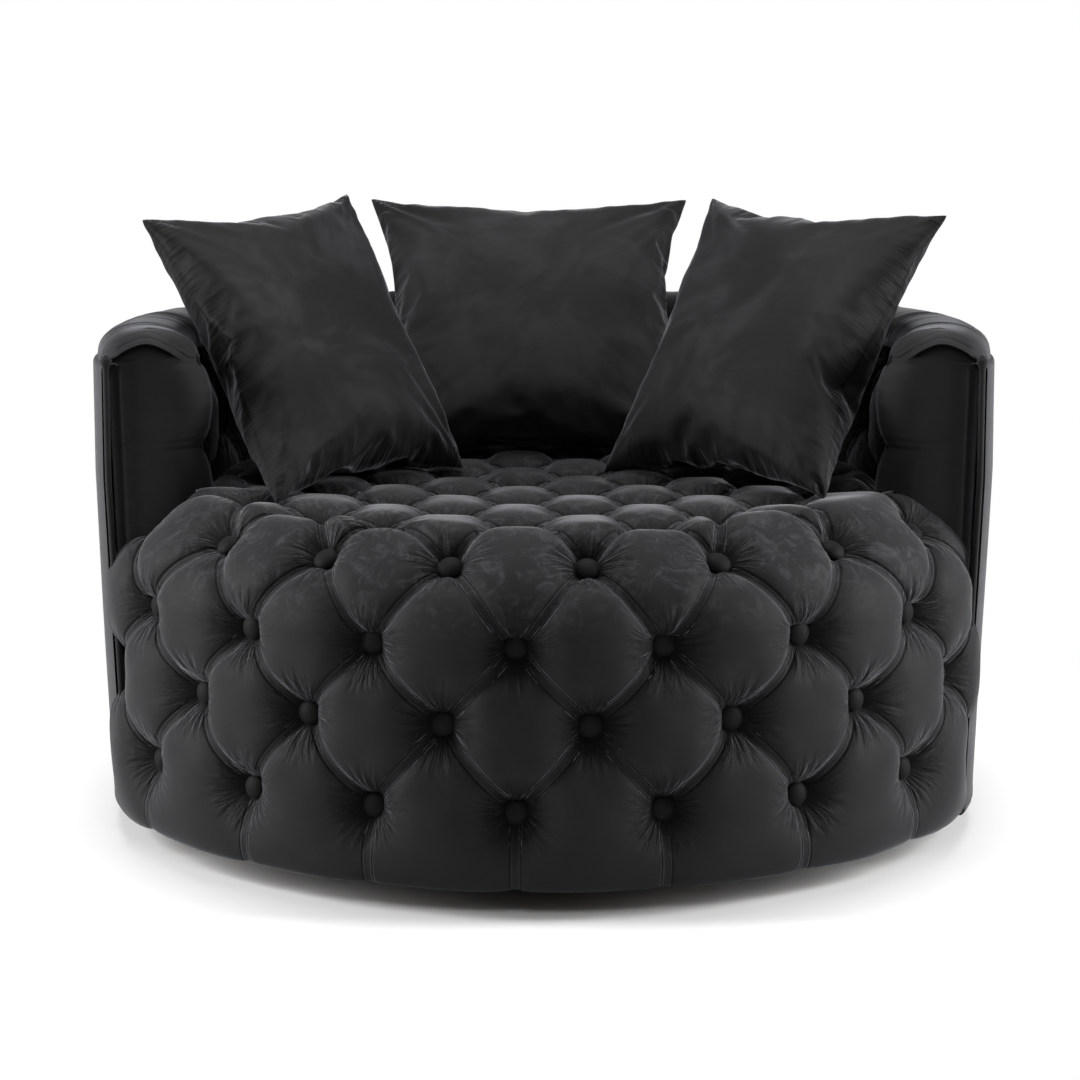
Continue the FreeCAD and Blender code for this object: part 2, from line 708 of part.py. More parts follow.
# Barrel back: hoops, uprights, brackets, pads and covers
def join_bolts():
    """Bolts up through the brackets and the seat's board, each with its nut."""
    low = board_bottom - size("bracket_thickness")
    radius = size("join_bolt_radius")
    bolts = []
    for angle in JOIN_ANGLES:
        place = polar(size("join_bolt_circle"), angle, low)
        grip = size("bracket_thickness") + size("board_thickness") + size("join_nut_height")
        shank = prism(BOLT_FLATS, radius, grip, place, UP)
        head = prism(6, 2 * radius, size("bolt_head_height"), place, UP * -1)
        nut = prism(6, 2 * radius, size("join_nut_height"), Vector(place.x, place.y, board_top), UP)
        bolts.append(shank.fuse([head, nut]).removeSplitter())
    return bolts


def hoop_behind(outer, inner, low):
    ring = tube(outer, inner, low, low + size("board_thickness"))
    return ring.common(behind(arm_back + size("frame_clearance"), reach))


def make_barrel_frame():
    inner = barrel_frame_inner
    outer = barrel_frame_outer
    thick = size("board_thickness")
    top_low = barrel_top_face - thick
    keep_shape(hoop_behind(outer, inner, board_bottom), "barrel_bottom_hoop")
    share = (top_low - size("skirt_gap")) / (barrel_top_face - size("skirt_gap"))
    top_outer = outer + size("barrel_taper") * share
    keep_shape(hoop_behind(top_outer, inner, top_low), "barrel_top_hoop")
    posts = []
    count = int(size("barrel_post_count"))
    half = size("barrel_post_width") / 2
    depth = (outer - inner) / 2 - size("frame_clearance") * 4
    first = math.degrees(math.acos(-arm_back / inner) + half / inner) + 2
    for number in range(count):
        angle = first + (360 - 2 * first) * number / (count - 1)
        post = block(Vector(-half, -depth, board_bottom + thick), Vector(half, depth, top_low))
        post.rotate(Vector(0, 0, 0), UP, angle)
        posts.append(moved(post, polar((outer + inner) / 2, angle, 0)))
    keep_shape(Part.makeCompound(posts), "barrel_uprights")
    brackets = []
    plate = size("bracket_thickness")
    wide = size("bracket_width") / 2
    for angle in JOIN_ANGLES:
        shape = block(Vector(-wide, -between(inner, outer, 0.6), board_bottom - plate),
                      Vector(wide, wide - size("join_bolt_circle"), board_bottom))
        shape.rotate(Vector(0, 0, 0), UP, angle)
        brackets.append(shape.cut(join_bolts()))
    keep_shape(Part.makeCompound(brackets), "barrel_brackets")
    keep_shape(Part.makeCompound(join_bolts()), "barrel_bolts")


def revolved(outline, y_limit):
    """Turn a closed outline of (radius, height) points about the swivel axis and keep what is behind a plane."""
    face = facet(*[Vector(radius, 0, height) for radius, height in outline])
    return face.revolve(Vector(0, 0, 0), UP, 360).common(behind(y_limit, reach))


def make_barrel_covers():
    gap = size("frame_clearance")
    outside = size("barrel_radius")
    low = size("skirt_gap")
    crest = size("barrel_height")
    rise = barrel_top_face - low
    taper = size("barrel_taper")
    edge = size("outer_panel_thickness") / 2
    panel = ((panel_radius, barrel_top_face), (panel_radius - taper, low), (outside - taper, low),
             (outside, low + rise * 0.75), (outside, barrel_top_face - edge), (outside - edge, barrel_top_face))
    keep_shape(revolved(panel, arm_face + gap), "barrel_outer_panel")
    inside = size("back_crest_radius") + size("outer_panel_thickness")
    middle = between(inside, outside - edge)
    half = middle - inside
    depth = size("roll_depth") - gap
    roll = []
    for number in range(ROLL_FACETS + 1):
        turn = math.pi * number / ROLL_FACETS
        roll.append((middle - half * math.cos(turn), barrel_top_face + gap + depth * math.sin(turn) ** 0.8))
    keep_shape(revolved(roll, arm_back + gap), "barrel_top_roll")


def make_arm_fronts():
    """A crowned pad on the front of each arm, drawn in by a pleat level with the buttons."""
    gap = size("frame_clearance")
    near = size("back_crest_radius")
    relief = size("back_button_radius") - near
    pleat = size("back_button_height")
    half_pleat = size("arm_fold_depth")
    crest = size("barrel_height")
    roll = size("roll_depth")
    # height, share of the crown, inner radius and how far the outer edge draws in
    levels = ((size("skirt_gap") + roll / 4, 0.5, near + relief, 0),
              (between(size("skirt_gap"), pleat), 0.9, near + relief / 2, 0),
              (pleat - 5 * half_pleat, 1, near + relief / 5, 0), (pleat - half_pleat, 0.7, near + relief * 0.5, 0),
              (pleat, 0, near + relief * 0.7, 0), (pleat + half_pleat, 0.7, near + relief * 0.5, 0),
              (pleat + 6 * half_pleat, 1, near, 0), (crest - 1.6 * roll, 1, near + relief / 8, 0),
              (crest - 0.75 * roll, 1, near + relief * 0.7, roll * 0.15),
              (crest - 0.25 * roll, 0.6, near + relief * 1.7, roll * 0.55), (crest - 2, 0, near + relief * 2.6, roll))
    for label, side in (("arm_front_right", 1), ("arm_front_left", -1)):
        rows = []
        for height, share, inner, narrow in levels:
            rise = (height - size("skirt_gap")) / (barrel_top_face - size("skirt_gap"))
            outer = panel_radius - size("barrel_taper") * max(0, 1 - rise) - gap
            x_in = side * math.sqrt(inner ** 2 - arm_back ** 2)
            x_out = side * (math.sqrt(outer ** 2 - arm_face ** 2) - narrow)
            edge = arm_face + size("arm_crown")
            crown = Vector((x_in + x_out) / 2, edge - size("arm_crown") * share - gap, height)
            front = along_arc(Vector(x_in, edge, height), crown, Vector(x_out, edge, height))
            rows.append(front + [Vector(x_out, arm_back, height), Vector(x_in, arm_back, height), front[0]])
        faces = [facet(*rows[0][:-1]), facet(*rows[-1][:-1])]
        for number in range(len(rows) - 1):
            faces += ruled(rows[number], rows[number + 1])
        keep_shape(closed_solid(faces), label)


def make_welts():
    """Piping down the outer edge of each arm front, under the knot that ends it."""
    radius = size("welt_radius")
    gap = size("frame_clearance")
    x_middle = math.sqrt((size("barrel_radius") - size("outer_panel_thickness") / 2) ** 2 - arm_face ** 2)
    low = size("seat_crest_height")
    for label, side in (("welt_right", 1), ("welt_left", -1)):
        foot = Vector(side * x_middle, arm_face - radius, low)
        rod = prism(BOLT_FLATS, radius, barrel_top_face - low, foot, UP)
        knot = prism(BOLT_FLATS, radius * 1.6, radius * 2, foot + UP * (barrel_top_face - low), UP)
        keep_shape(rod.fuse(knot).removeSplitter(), label)


def make_dust_cover():
    """Black cloth under the seat, round the bearing and inside the barrel's brackets."""
    thick = size("dust_cover_thickness")
    outer = size("join_bolt_circle") - size("bracket_width") / 2 - 2 * size("frame_clearance")
    low = board_bottom - thick
    disc = prism(24, outer, thick, Vector(0, 0, low), UP)
    keep_shape(disc.cut(prism(24, size("race_size") * 0.75, thick, Vector(0, 0, low), UP)), "dust_cover")


# Loose pillows: square and knife-edged, with drawn-in sides, crowned front and back
# Each corner is across, back and above the seat's crest: upper left, upper right, lower right, lower left
PILLOWS = (
    ("pillow_left", (-485, 10, 301), (-252, 272, 321), (-98, 48, -10.4), (-304, -250, -10.4)),
    ("pillow_centre", (-233, 425, 307), (193, 425, 307), (197, 132, -10.8), (-213, 132, -10.8)),
    ("pillow_right", (216, 270, 315), (483, 10, 306), (313, -241, -5.3), (73, 20, -5.3)),
)


def drawn_in(corners, inset):
    """The four corners, each moved in along both of its sides."""
    moved_in = []
    for number, corner in enumerate(corners):
        before = (corners[number - 1] - corner).normalize()
        after = (corners[(number + 1) % 4] - corner).normalize()
        moved_in.append(corner + (before + after) * inset)
    return moved_in


def pillow_solid(corners, crown):
    """Facets from arc to arc up the pillow, front and back, which meet in its knife edge."""
    top_left, top_right, low_right, low_left = corners
    across = top_right - top_left + low_right - low_left
    upward = (top_left - low_left + top_right - low_right).normalize()
    normal = across.cross(upward).normalize()
    draw = size("pillow_draw")
    faces = []
    for way in (1, -1):
        rows = []
        for number in range(PILLOW_STRIPS + 1):
            share = number / PILLOW_STRIPS
            bow = 4 * share * (1 - share)
            left = between(low_left, top_left, share)
            right = between(low_right, top_right, share)
            inset = (right - left).normalize() * (draw * bow)
            nearness = max(0, abs(1 - 2 * share) - 0.7) / 0.3
            dip = upward * (draw * nearness * (1 if share < 0.5 else -1))
            peak = between(left, right) + normal * (way * crown * bow ** 0.62) + dip
            rows.append(along_arc(left + inset, peak, right - inset))
        # the diagonals run from the corners inwards
        for number in range(PILLOW_STRIPS):
            low_half = number < PILLOW_STRIPS / 2
            turned = range(PUFF_FACETS // 2) if low_half else range(PUFF_FACETS // 2, PUFF_FACETS)
            faces += ruled(rows[number], rows[number + 1], turned)
    return closed_solid(faces)


def make_pillows():
    """Each pillow's velvet cover, and the filling inside it, which stops short of the corners."""
    wall = size("pillow_cover_wall")
    crown = size("pillow_crown")
    for label, *places in PILLOWS:
        corners = [Vector(*place) + UP * size("seat_crest_height") for place in places]
        inner = drawn_in(corners, size("pillow_edge"))
        filling = drawn_in(inner, size("frame_clearance"))
        cavity = pillow_solid(inner, crown - wall)
        keep_shape(pillow_solid(corners, crown).cut(cavity), label + "_cover")
        keep_shape(pillow_solid(filling, crown - wall - size("frame_clearance")), label + "_filling")


make_plinth()
make_glides()
make_bearing()
make_seat_frame()
make_webbing()
make_foam()
make_seat_top()
make_drum()
make_back_pad()
make_buttons()
make_barrel_frame()
make_barrel_covers()
make_arm_fronts()
make_welts()
make_dust_cover()
make_pillows()
document.recompute()

for item in document.Objects:
    if "Invalid" in item.State or "Error" in item.State:
        raise RuntimeError(f"{item.Label} failed: {item.State}")
os.makedirs("parts", exist_ok=True)
for item in nodes:
    if item.Shape.isNull() or not item.Shape.isValid():
        raise RuntimeError(f"{item.Label} has no valid shape")
for item in nodes:
    item.Shape.exportStep(f"parts/{item.Label}.step")
    print(item.Label, len(item.Shape.Solids), round(item.Shape.Volume / 1e6, 4))
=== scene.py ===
"""Swivel barrel cuddle chair: a diamond-buttoned velvet seat, a barrel back and three loose pillows."""

import math

import bmesh
import bpy
import numpy as np
from bpy.props import FloatProperty, FloatVectorProperty, IntProperty, PointerProperty
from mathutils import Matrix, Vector, noise


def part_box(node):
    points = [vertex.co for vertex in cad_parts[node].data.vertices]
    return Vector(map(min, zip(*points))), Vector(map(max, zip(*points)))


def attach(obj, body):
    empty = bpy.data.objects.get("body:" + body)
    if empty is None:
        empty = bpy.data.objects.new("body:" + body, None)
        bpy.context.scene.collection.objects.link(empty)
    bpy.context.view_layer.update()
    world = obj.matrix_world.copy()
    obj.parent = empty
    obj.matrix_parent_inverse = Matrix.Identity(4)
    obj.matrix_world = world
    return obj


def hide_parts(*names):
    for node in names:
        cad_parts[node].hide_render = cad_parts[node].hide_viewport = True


bl_info = {
    "name": "Swivel Barrel Chair",
    "version": (1, 0, 0),
    "blender": (4, 5, 0),
    "location": "3D Viewport > Sidebar > Barrel Chair",
    "description": "Dresses the swivel barrel chair in buttoned velvet and sets its stage",
    "category": "Object",
}

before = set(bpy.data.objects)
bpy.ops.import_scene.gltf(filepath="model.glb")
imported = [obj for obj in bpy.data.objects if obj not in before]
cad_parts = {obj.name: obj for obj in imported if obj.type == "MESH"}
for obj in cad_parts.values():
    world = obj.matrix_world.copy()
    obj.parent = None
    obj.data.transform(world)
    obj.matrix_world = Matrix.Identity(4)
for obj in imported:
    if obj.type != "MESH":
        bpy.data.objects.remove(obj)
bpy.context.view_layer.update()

# The drum and the seat top, in metres, as the model has them; turns are measured from the front
ARM_FACE = -0.1755
ARM_BACK = -0.139
HEM = 0.030
HEM_RADIUS = 0.511
HEM_RISE = 0.115
DRUM_RADIUS = 0.533
SHOULDER_FOOT = 0.305
SHOULDER_POWER = 1.5
SEAT_CREST = 0.420
SEAM_RADIUS = 0.430
WELL_RADIUS = 0.403

# Button rows of the drum: height and shift in columns; the top row is drawn in along a tilted line
ROWS = ((0.115, 0.0), (0.209, 0.5), (0.294, 0.0), (0.370, 0.5))
COLUMN_TURN = math.radians(18)
FIRST_TURN = math.radians(-3.5)
SIDE_ROW_RADIUS = 0.497
TOP_ROW_RADIUS = 0.464
TOP_ROW_TILT = math.radians(52)

# Even button columns, and where the same columns stand as they open towards the arms
EVEN_TURNS = np.radians((-90, -66.5, -57.5, -48.5, -39.5, -12.5, 23.5, 32.5, 41.5, 50.5, 59.5, 90))
OPEN_TURNS = np.radians((-91, -69.8, -60.3, -49.2, -39.6, -12.5, 23.7, 33.4, 43.2, 54.0, 63.4, 92))
END_FULLNESS = 0.014

# Crossings of the seat top's folds. A crossing lies inside the larger radius where it is in front of
# the line given first, else inside the smaller one, and so do the buttons
SEAT_START = (0.042, -0.464)
SEAT_STEPS = (0.0725, 0.079)
CROSSING_LIMITS = (-0.18, 0.4285, 0.418)
BUTTON_LIMITS = (-0.2625, 0.4048, 0.3778)
SEAT_BUTTON_HEIGHT = 0.380

# The barrel's inside, its roll and its outer face
BACK_CREST = 0.410
BACK_BUTTON_RADIUS = 0.431
BACK_ROWS = (0.380, 0.464, 0.548)
BARREL = 0.540
ROLL_FOOT = 0.562
ROLL_INNER = 0.424
ROLL_OUTER = 0.533
ROLL_MIDDLE = (ROLL_INNER + ROLL_OUTER) / 2
ROLL_HALF = (ROLL_OUTER - ROLL_INNER) / 2
ROLL_RISE = 0.0395
ROLL_POWER = 0.75

# How deep pits and folds are pressed in
SIDE_PIT = 0.037
TOP_ROW_PIT = 0.031
SEAT_PIT = 0.042
CROSSING_PIT = 0.022
BACK_PIT = 0.022
HEM_PLEATS = (0.0025, 0.006)
SIDE_FOLD = 0.009
TOP_ROW_FOLD = 0.010
SEAT_FOLD = 0.012
BACK_FOLD = 0.010
BACK_PLEAT = 0.008

# Places of each pillow's corners: top left, top right, lower right and lower left, seen from the front
PILLOW_SIDE = 0.43
PILLOWS = {
    "pillow_left": (
        (-0.485, 0.010, 0.721), (-0.252, 0.272, 0.741), (-0.098, 0.048, 0.4096), (-0.304, -0.250, 0.4096)
    ),
    "pillow_centre": (
        (-0.233, 0.425, 0.727), (0.193, 0.425, 0.727), (0.197, 0.132, 0.4092), (-0.213, 0.132, 0.4092)
    ),
    "pillow_right": (
        (0.216, 0.270, 0.735), (0.483, 0.010, 0.726), (0.313, -0.241, 0.4147), (0.073, 0.020, 0.4147)
    ),
}

# Lamps: name, place, aim, size, and power as a share of the lamp power
LAMPS = (
    ("overhead", (0, 0.2, 2.9), (0, -0.1, 0.3), (2.2, 1.4), 1.0),
    ("left_bank", (-2.5, -0.4, 1.1), (0, -0.1, 0.3), (0.9, 1.6), 1.35),
    ("right_bank", (2.5, -0.4, 1.1), (0, -0.1, 0.3), (0.9, 1.6), 1.35),
    ("front", (0, -3.4, 2.6), (0, -0.3, 0.3), (1.6, 0.8), 0.5),
)
FLOOR_SIZE = 30.0
ROOM_LIGHT = 0.08
CAMERA_PLACE = (-0.0048, -3.612, 0.898)
CAMERA_DOWN = math.radians(8.93)
CAMERA_LENS = 100
CAMERA_SENSOR = 36


class TuftingSizes(bpy.types.PropertyGroup):
    puff_width: FloatProperty(
        name="Puff Width",
        description="Distance from a fold to where a puff is full",
        default=0.026,
        unit="LENGTH",
    )
    fold_width: FloatProperty(
        name="Fold Width", description="Width of the flat pleat along a fold", default=0.008, unit="LENGTH"
    )
    button_radius: FloatProperty(
        name="Button Radius", description="Radius of a covered button", default=0.014, unit="LENGTH"
    )
    button_height: FloatProperty(
        name="Button Height", description="Rise of a covered button", default=0.0085, unit="LENGTH"
    )


class PillowSizes(bpy.types.PropertyGroup):
    crown: FloatProperty(
        name="Crown", description="How far each face stands out", default=0.066, unit="LENGTH"
    )
    panel_steps: IntProperty(name="Panel Steps", description="Faces along a pillow's side", default=72)
    pressure: FloatProperty(name="Pressure", description="How hard the filling pushes", default=4.0)
    settle_frames: IntProperty(name="Settle Frames", description="Steps of the cloth simulation", default=26)


class ChairColours(bpy.types.PropertyGroup):
    velvet: FloatVectorProperty(
        name="Velvet", description="The velvet's own colour", subtype="COLOR", default=(0.01, 0.01, 0.0106)
    )
    sheen: FloatProperty(
        name="Sheen", description="Light caught by the velvet's pile", default=0.22, subtype="FACTOR"
    )
    plywood: FloatVectorProperty(
        name="Plywood", description="Birch plywood", subtype="COLOR", default=(0.52, 0.36, 0.20)
    )
    steel: FloatVectorProperty(
        name="Steel", description="Zinc-plated steel", subtype="COLOR", default=(0.55, 0.56, 0.57)
    )


class StageSizes(bpy.types.PropertyGroup):
    lamp_power: FloatProperty(
        name="Lamp Power", description="Power of the overhead lamp", default=85.0, unit="POWER"
    )
    floor: FloatVectorProperty(
        name="Floor", description="Pale floor", subtype="COLOR", default=(0.68, 0.68, 0.68)
    )


class ChairSettings(bpy.types.PropertyGroup):
    tufting: PointerProperty(type=TuftingSizes)
    pillows: PointerProperty(type=PillowSizes)
    colours: PointerProperty(type=ChairColours)
    stage: PointerProperty(type=StageSizes)


# Meshes
def new_piece(name, points, faces, material, body="chair", smooth=True):
    """A mesh object from points and faces that rides on a body of the frame."""
    mesh = bpy.data.meshes.new(name)
    mesh.from_pydata(np.asarray(points).reshape(-1, 3).tolist(), [], faces)
    mesh.materials.append(material)
    if smooth:
        mesh.shade_smooth()
    mesh.update()
    piece = bpy.data.objects.new(name, mesh)
    bpy.context.scene.collection.objects.link(piece)
    if body:
        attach(piece, body)
    return piece


def grid_faces(rows, columns, around=False):
    """Quads over a grid of points, row by row; around joins the last column to the first."""
    faces = []
    last = columns if around else columns - 1
    for row in range(rows - 1):
        for column in range(last):
            near = row * columns + column
            side = row * columns + (column + 1) % columns
            faces.append((near, side, side + columns, near + columns))
    return faces


def keep_values(piece, name, values):
    """Store a vector for each point, which the materials read by name."""
    attribute = piece.data.attributes.new(name, "FLOAT_VECTOR", "POINT")
    attribute.data.foreach_set("vector", np.asarray(values, np.float32).ravel())


def wander(points, size, seed=0.0):
    """Smooth noise from -1 to 1 at each point; size is the width of its swells."""
    shift = Vector((seed * 7.3, seed * 3.1, seed * 5.7))
    places = np.asarray(points).reshape(-1, 3).tolist()
    return np.array([noise.noise(Vector(place) / size + shift) for place in places])


def polar(radius, turn, height):
    """Points at an angle from the front, positive towards +X."""
    radius, turn, height = np.broadcast_arrays(radius, turn, height)
    return np.stack((radius * np.sin(turn), -radius * np.cos(turn), height), -1)


def smooth_share(value, low, high):
    """0 below low, 1 above high and an even swing between."""
    share = np.clip((value - low) / (high - low), 0, 1)
    return share * share * (3 - 2 * share)


# Diamond tufting: folds and buttons pressed into an even surface
FOLD_SHARES = np.linspace(0, 1, 7)


class Graph:
    """Pits and folds to press into a surface, with the depth of each."""

    def __init__(self):
        self.pits, self.outward, self.depths = [], [], []
        self.folds, self.fold_depths = [], []

    def add_pit(self, place, outward, depth):
        self.pits.append(place)
        self.outward.append(outward)
        self.depths.append(depth)

    def add_fold(self, first, second, depth, laid):
        """A fold between two ends; laid gives the points on the surface for what lies between them."""
        first = np.array(first)
        between = first + (np.array(second) - first) * FOLD_SHARES[:, None]
        self.folds.append(laid(*between.T))
        self.fold_depths.append(depth)

    def arrays(self):
        lists = (self.pits, self.outward, self.depths, self.folds, self.fold_depths)
        return [np.array(rows) for rows in lists]


def fold_distances(points, folds):
    """Distance of each point to each fold, a chain of short runs, and the number of the nearest run."""
    starts = folds[:, :-1].reshape(-1, 3)
    runs = folds[:, 1:].reshape(-1, 3) - starts
    squares = (runs ** 2).sum(1)
    count = len(folds)
    apart = np.empty((len(points), count))
    nearest = np.empty(len(points), int)
    for first in range(0, len(points), 3000):
        chunk = points[first:first + 3000]
        offset = chunk @ runs.T - (starts * runs).sum(1)
        share = np.clip(offset / squares, 0, 1)
        square = (chunk ** 2).sum(1)[:, None] - 2 * chunk @ starts.T + (starts ** 2).sum(1)
        square += share ** 2 * squares - 2 * share * offset
        nearest[first:first + 3000] = square.argmin(1)
        apart[first:first + 3000] = np.sqrt(np.maximum(square.reshape(len(chunk), count, -1).min(2), 1e-10))
    return apart, nearest


def pit_offsets(points, pits, outward, depths):
    """Each point's nearest pit, how far it lies away, across and up from there, and two values that
    blend all pits evenly: the distance and the depth."""
    square = (points ** 2).sum(1)[:, None] - 2 * points @ pits.T + (pits ** 2).sum(1)
    nearest = square.argmin(1)
    weights = np.maximum(square, 1e-8) ** -3
    total = weights.sum(1)
    offset = points - pits[nearest]
    out = outward[nearest]
    level = np.cross(np.array((0.0, 0.3, 1.0)), out)
    level /= np.linalg.norm(level, axis=1)[:, None]
    upward = np.cross(out, level)
    away = np.linalg.norm(offset, axis=1)
    across, up = (offset * level).sum(1), (offset * upward).sum(1)
    return nearest, away, across, up, total ** (-1 / 6), weights @ depths / total


DOME_POWER = 0.66
FUNNEL_WIDTH = 0.026
FUNNEL_POWER = 1.2
GATHER_COUNT = 7
GATHER_DEPTH = 0.0026
GATHERS_BEGIN = (0.014, 0.024)
GATHERS_END = (0.030, 0.062)
SWELL_SIZE = 0.09
SWELL_DEPTH = 0.0022


def pressed(points, outward, graph, sizes, seed=0.0):
    """Press folds and pits into an even surface. Returns the points and what the velvet reads there."""
    pits, pit_outward, pit_depths, folds, fold_depths = graph
    apart, nearest = fold_distances(points, folds)
    weights = apart ** -3
    total = weights.sum(1)
    reach = total ** (-1 / 3)
    fold_depth = (weights * fold_depths).sum(1) / total
    flat = sizes.fold_width / 2
    rise = np.clip((reach - flat) / (sizes.puff_width - flat), 0, 1)
    dome = (1 - (1 - rise) ** 2) ** DOME_POWER
    pit, away, across, up, even, pit_depth = pit_offsets(points, pits, pit_outward, pit_depths)
    spread = np.clip(even - sizes.button_radius * 0.7, 0, None)
    funnel = np.exp(-(spread / FUNNEL_WIDTH) ** FUNNEL_POWER)
    swell = wander(points, SWELL_SIZE, seed) * SWELL_DEPTH
    depth = fold_depth * (1 - dome) + (pit_depth - fold_depth) * funnel - swell * dome
    # the cloth gathers in a ring of creases about each button, strongest above and below it
    turn = np.arctan2(up, across)
    ring = smooth_share(away, *GATHERS_BEGIN) * (1 - smooth_share(away, *GATHERS_END))
    phase = wander(np.stack((np.cos(turn) * 1.6, np.sin(turn) * 1.6, pit * 1.7), 1), 1.0, seed)
    gathers = np.abs(np.sin(turn * GATHER_COUNT + phase * 5 + pit)) ** 0.7 - 0.6
    strength = 0.6 + 0.6 * wander(np.stack((turn, pit * 2.3, pit * 0.9), 1), 0.8, seed + 3)
    strength *= 0.35 + 0.9 * np.abs(np.sin(turn)) ** 1.5
    strength *= np.clip(1.4 - pit_outward[pit][:, 2], 0.4, 1)
    depth -= gathers * ring * strength * GATHER_DEPTH * np.clip(dome + 0.25, 0, 1)
    # on which side of its nearest fold each point lies
    starts = folds[:, :-1].reshape(-1, 3)
    runs = folds[:, 1:].reshape(-1, 3) - starts
    side = np.cross(outward, runs[nearest])
    side /= np.linalg.norm(side, axis=1)[:, None]
    signed = ((points - starts[nearest]) * side).sum(1)
    clear = apart.min(1)
    gap = np.where(signed < 0, -clear, clear)
    moved = points - outward * depth[:, None]
    return moved, np.stack((across, up, pit * 0.37), 1), np.stack((gap, away, clear), 1)


# The drum: hem, upright front and the shoulder that turns over to the seat top
def swung(points):
    """Open the button columns towards the arms, where the seat front is a little fuller."""
    turn = np.arctan2(points[..., 0], -points[..., 1])
    radius = np.hypot(points[..., 0], points[..., 1])
    share = smooth_share(radius, 0.33, 0.43)
    moved = turn + (np.interp(turn, EVEN_TURNS, OPEN_TURNS) - turn) * share
    radius = radius * (1 + END_FULLNESS * share * smooth_share(np.abs(moved), 0.87, 1.15))
    return polar(radius, moved, points[..., 2])


def drum_profile(steps=400):
    """Radius and height up the drum's fullest section, with the distance along it."""
    share = np.linspace(0, 1, steps)
    foot = HEM + HEM_RISE
    swing = share * math.pi / 2
    bend = 2 / SHOULDER_POWER
    radius = np.concatenate((
        HEM_RADIUS + (DRUM_RADIUS - HEM_RADIUS) * np.sqrt(1 - (1 - share) ** 2),
        np.full(steps, DRUM_RADIUS),
        SEAM_RADIUS + (DRUM_RADIUS - SEAM_RADIUS) * np.cos(swing) ** bend,
    ))
    height = np.concatenate((
        HEM + HEM_RISE * share,
        foot + (SHOULDER_FOOT - foot) * share,
        SHOULDER_FOOT + (SEAT_CREST - SHOULDER_FOOT) * np.sin(swing) ** bend,
    ))
    run = np.concatenate(([0], np.cumsum(np.hypot(np.diff(radius), np.diff(height)))))
    return radius, height, run


PROFILE = drum_profile()


def profile_at(run):
    """Radius and height at a distance along the drum's section."""
    radius, height, runs = PROFILE
    return np.interp(run, runs, radius), np.interp(run, runs, height)


def run_at_height(height):
    return float(np.interp(height, PROFILE[1], PROFILE[2]))


def shoulder_height(radius):
    """Height of the shoulder and seat top at a radius."""
    share = np.clip((radius - SEAM_RADIUS) / (DRUM_RADIUS - SEAM_RADIUS), 0, 1)
    rise = SEAT_CREST - SHOULDER_FOOT
    return SHOULDER_FOOT + rise * (1 - share ** SHOULDER_POWER) ** (1 / SHOULDER_POWER)


def lies_inside(x, y, limits):
    """Whether a place lies inside the limits of the crossings or of the buttons."""
    line, front, rear = limits
    return math.hypot(x, y) < (front if y < line else rear)


def seat_pits():
    """Places of the buttons and fold crossings of the seat top, by column and row."""
    places = {}
    for row in range(1, 12):
        for column in range(-7, 8):
            x = SEAT_START[0] + column * SEAT_STEPS[0]
            y = SEAT_START[1] + row * SEAT_STEPS[1]
            if (column + row) % 2 == 0 and lies_inside(x, y, CROSSING_LIMITS):
                places[column, row] = (x, y)
    return places


def shoulder_run():
    """Where the top row of buttons lies along the drum's section."""
    radius, height, runs = PROFILE
    across = (radius - TOP_ROW_RADIUS) * math.sin(TOP_ROW_TILT)
    across = across - (height - ROWS[3][0]) * math.cos(TOP_ROW_TILT)
    upper = height > 0.32
    return float(runs[upper][np.abs(across[upper]).argmin()])


def drum_graph():
    """Pits and folds of the drum and the seat top, on their fullest surface."""
    graph = Graph()
    runs = [run_at_height(height) for height, shift in ROWS[:3]] + [shoulder_run()]
    near_arm = ARM_FACE + 0.03
    join_reach = 0.131
    side = {}

    def on_side(turn, run):
        radius, height = profile_at(run)
        return polar(radius, turn, height)

    def on_top(x, y):
        return np.stack((x, y, shoulder_height(np.hypot(x, y))), -1)

    for row, (height, shift) in enumerate(ROWS):
        tilt = TOP_ROW_TILT if row == 3 else 0.0
        for column in range(-7, 8):
            turn = FIRST_TURN + (column + shift) * COLUMN_TURN
            side[row, column] = (turn, runs[row])
            aim = polar(math.cos(tilt), turn, math.sin(tilt))
            graph.add_pit(on_side(turn, runs[row]), aim, TOP_ROW_PIT if row == 3 else SIDE_PIT)
    for column in range(-7, 8):
        turn = side[0, column][0]
        middle = (turn, runs[0] / 2)
        graph.add_fold((turn, 0.0), middle, HEM_PLEATS[0], on_side)
        graph.add_fold(middle, side[0, column], HEM_PLEATS[1], on_side)
        for row in range(3):
            shift = row % 2
            for other in (column + shift - 1, column + shift):
                if (row + 1, other) in side:
                    depth = SIDE_FOLD if row < 2 else TOP_ROW_FOLD
                    graph.add_fold(side[row, column], side[row + 1, other], depth, on_side)
    top = seat_pits()
    for (column, row), (x, y) in top.items():
        depth = SEAT_PIT if lies_inside(x, y, BUTTON_LIMITS) else CROSSING_PIT
        graph.add_pit(np.array((x, y, SEAT_CREST)), np.array((0.0, 0.0, 1.0)), depth)
        for other in ((column - 1, row + 1), (column + 1, row + 1)):
            if other in top:
                graph.add_fold((x, y), top[other], SEAT_FOLD, on_top)
    # the folds that join the shoulder's top row to the crossings behind it
    for column in range(-7, 8):
        turn, run = side[3, column]
        spot = polar(TOP_ROW_RADIUS, turn, 0.0)
        if spot[1] > near_arm:
            continue
        for x, y in top.values():
            if math.hypot(x - spot[0], y - spot[1]) < join_reach and y < near_arm:
                graph.add_fold(on_side(turn, run)[:2], (x, y), SEAT_FOLD, on_top)
    return graph.arrays()


DRUM_GRAPH = drum_graph()


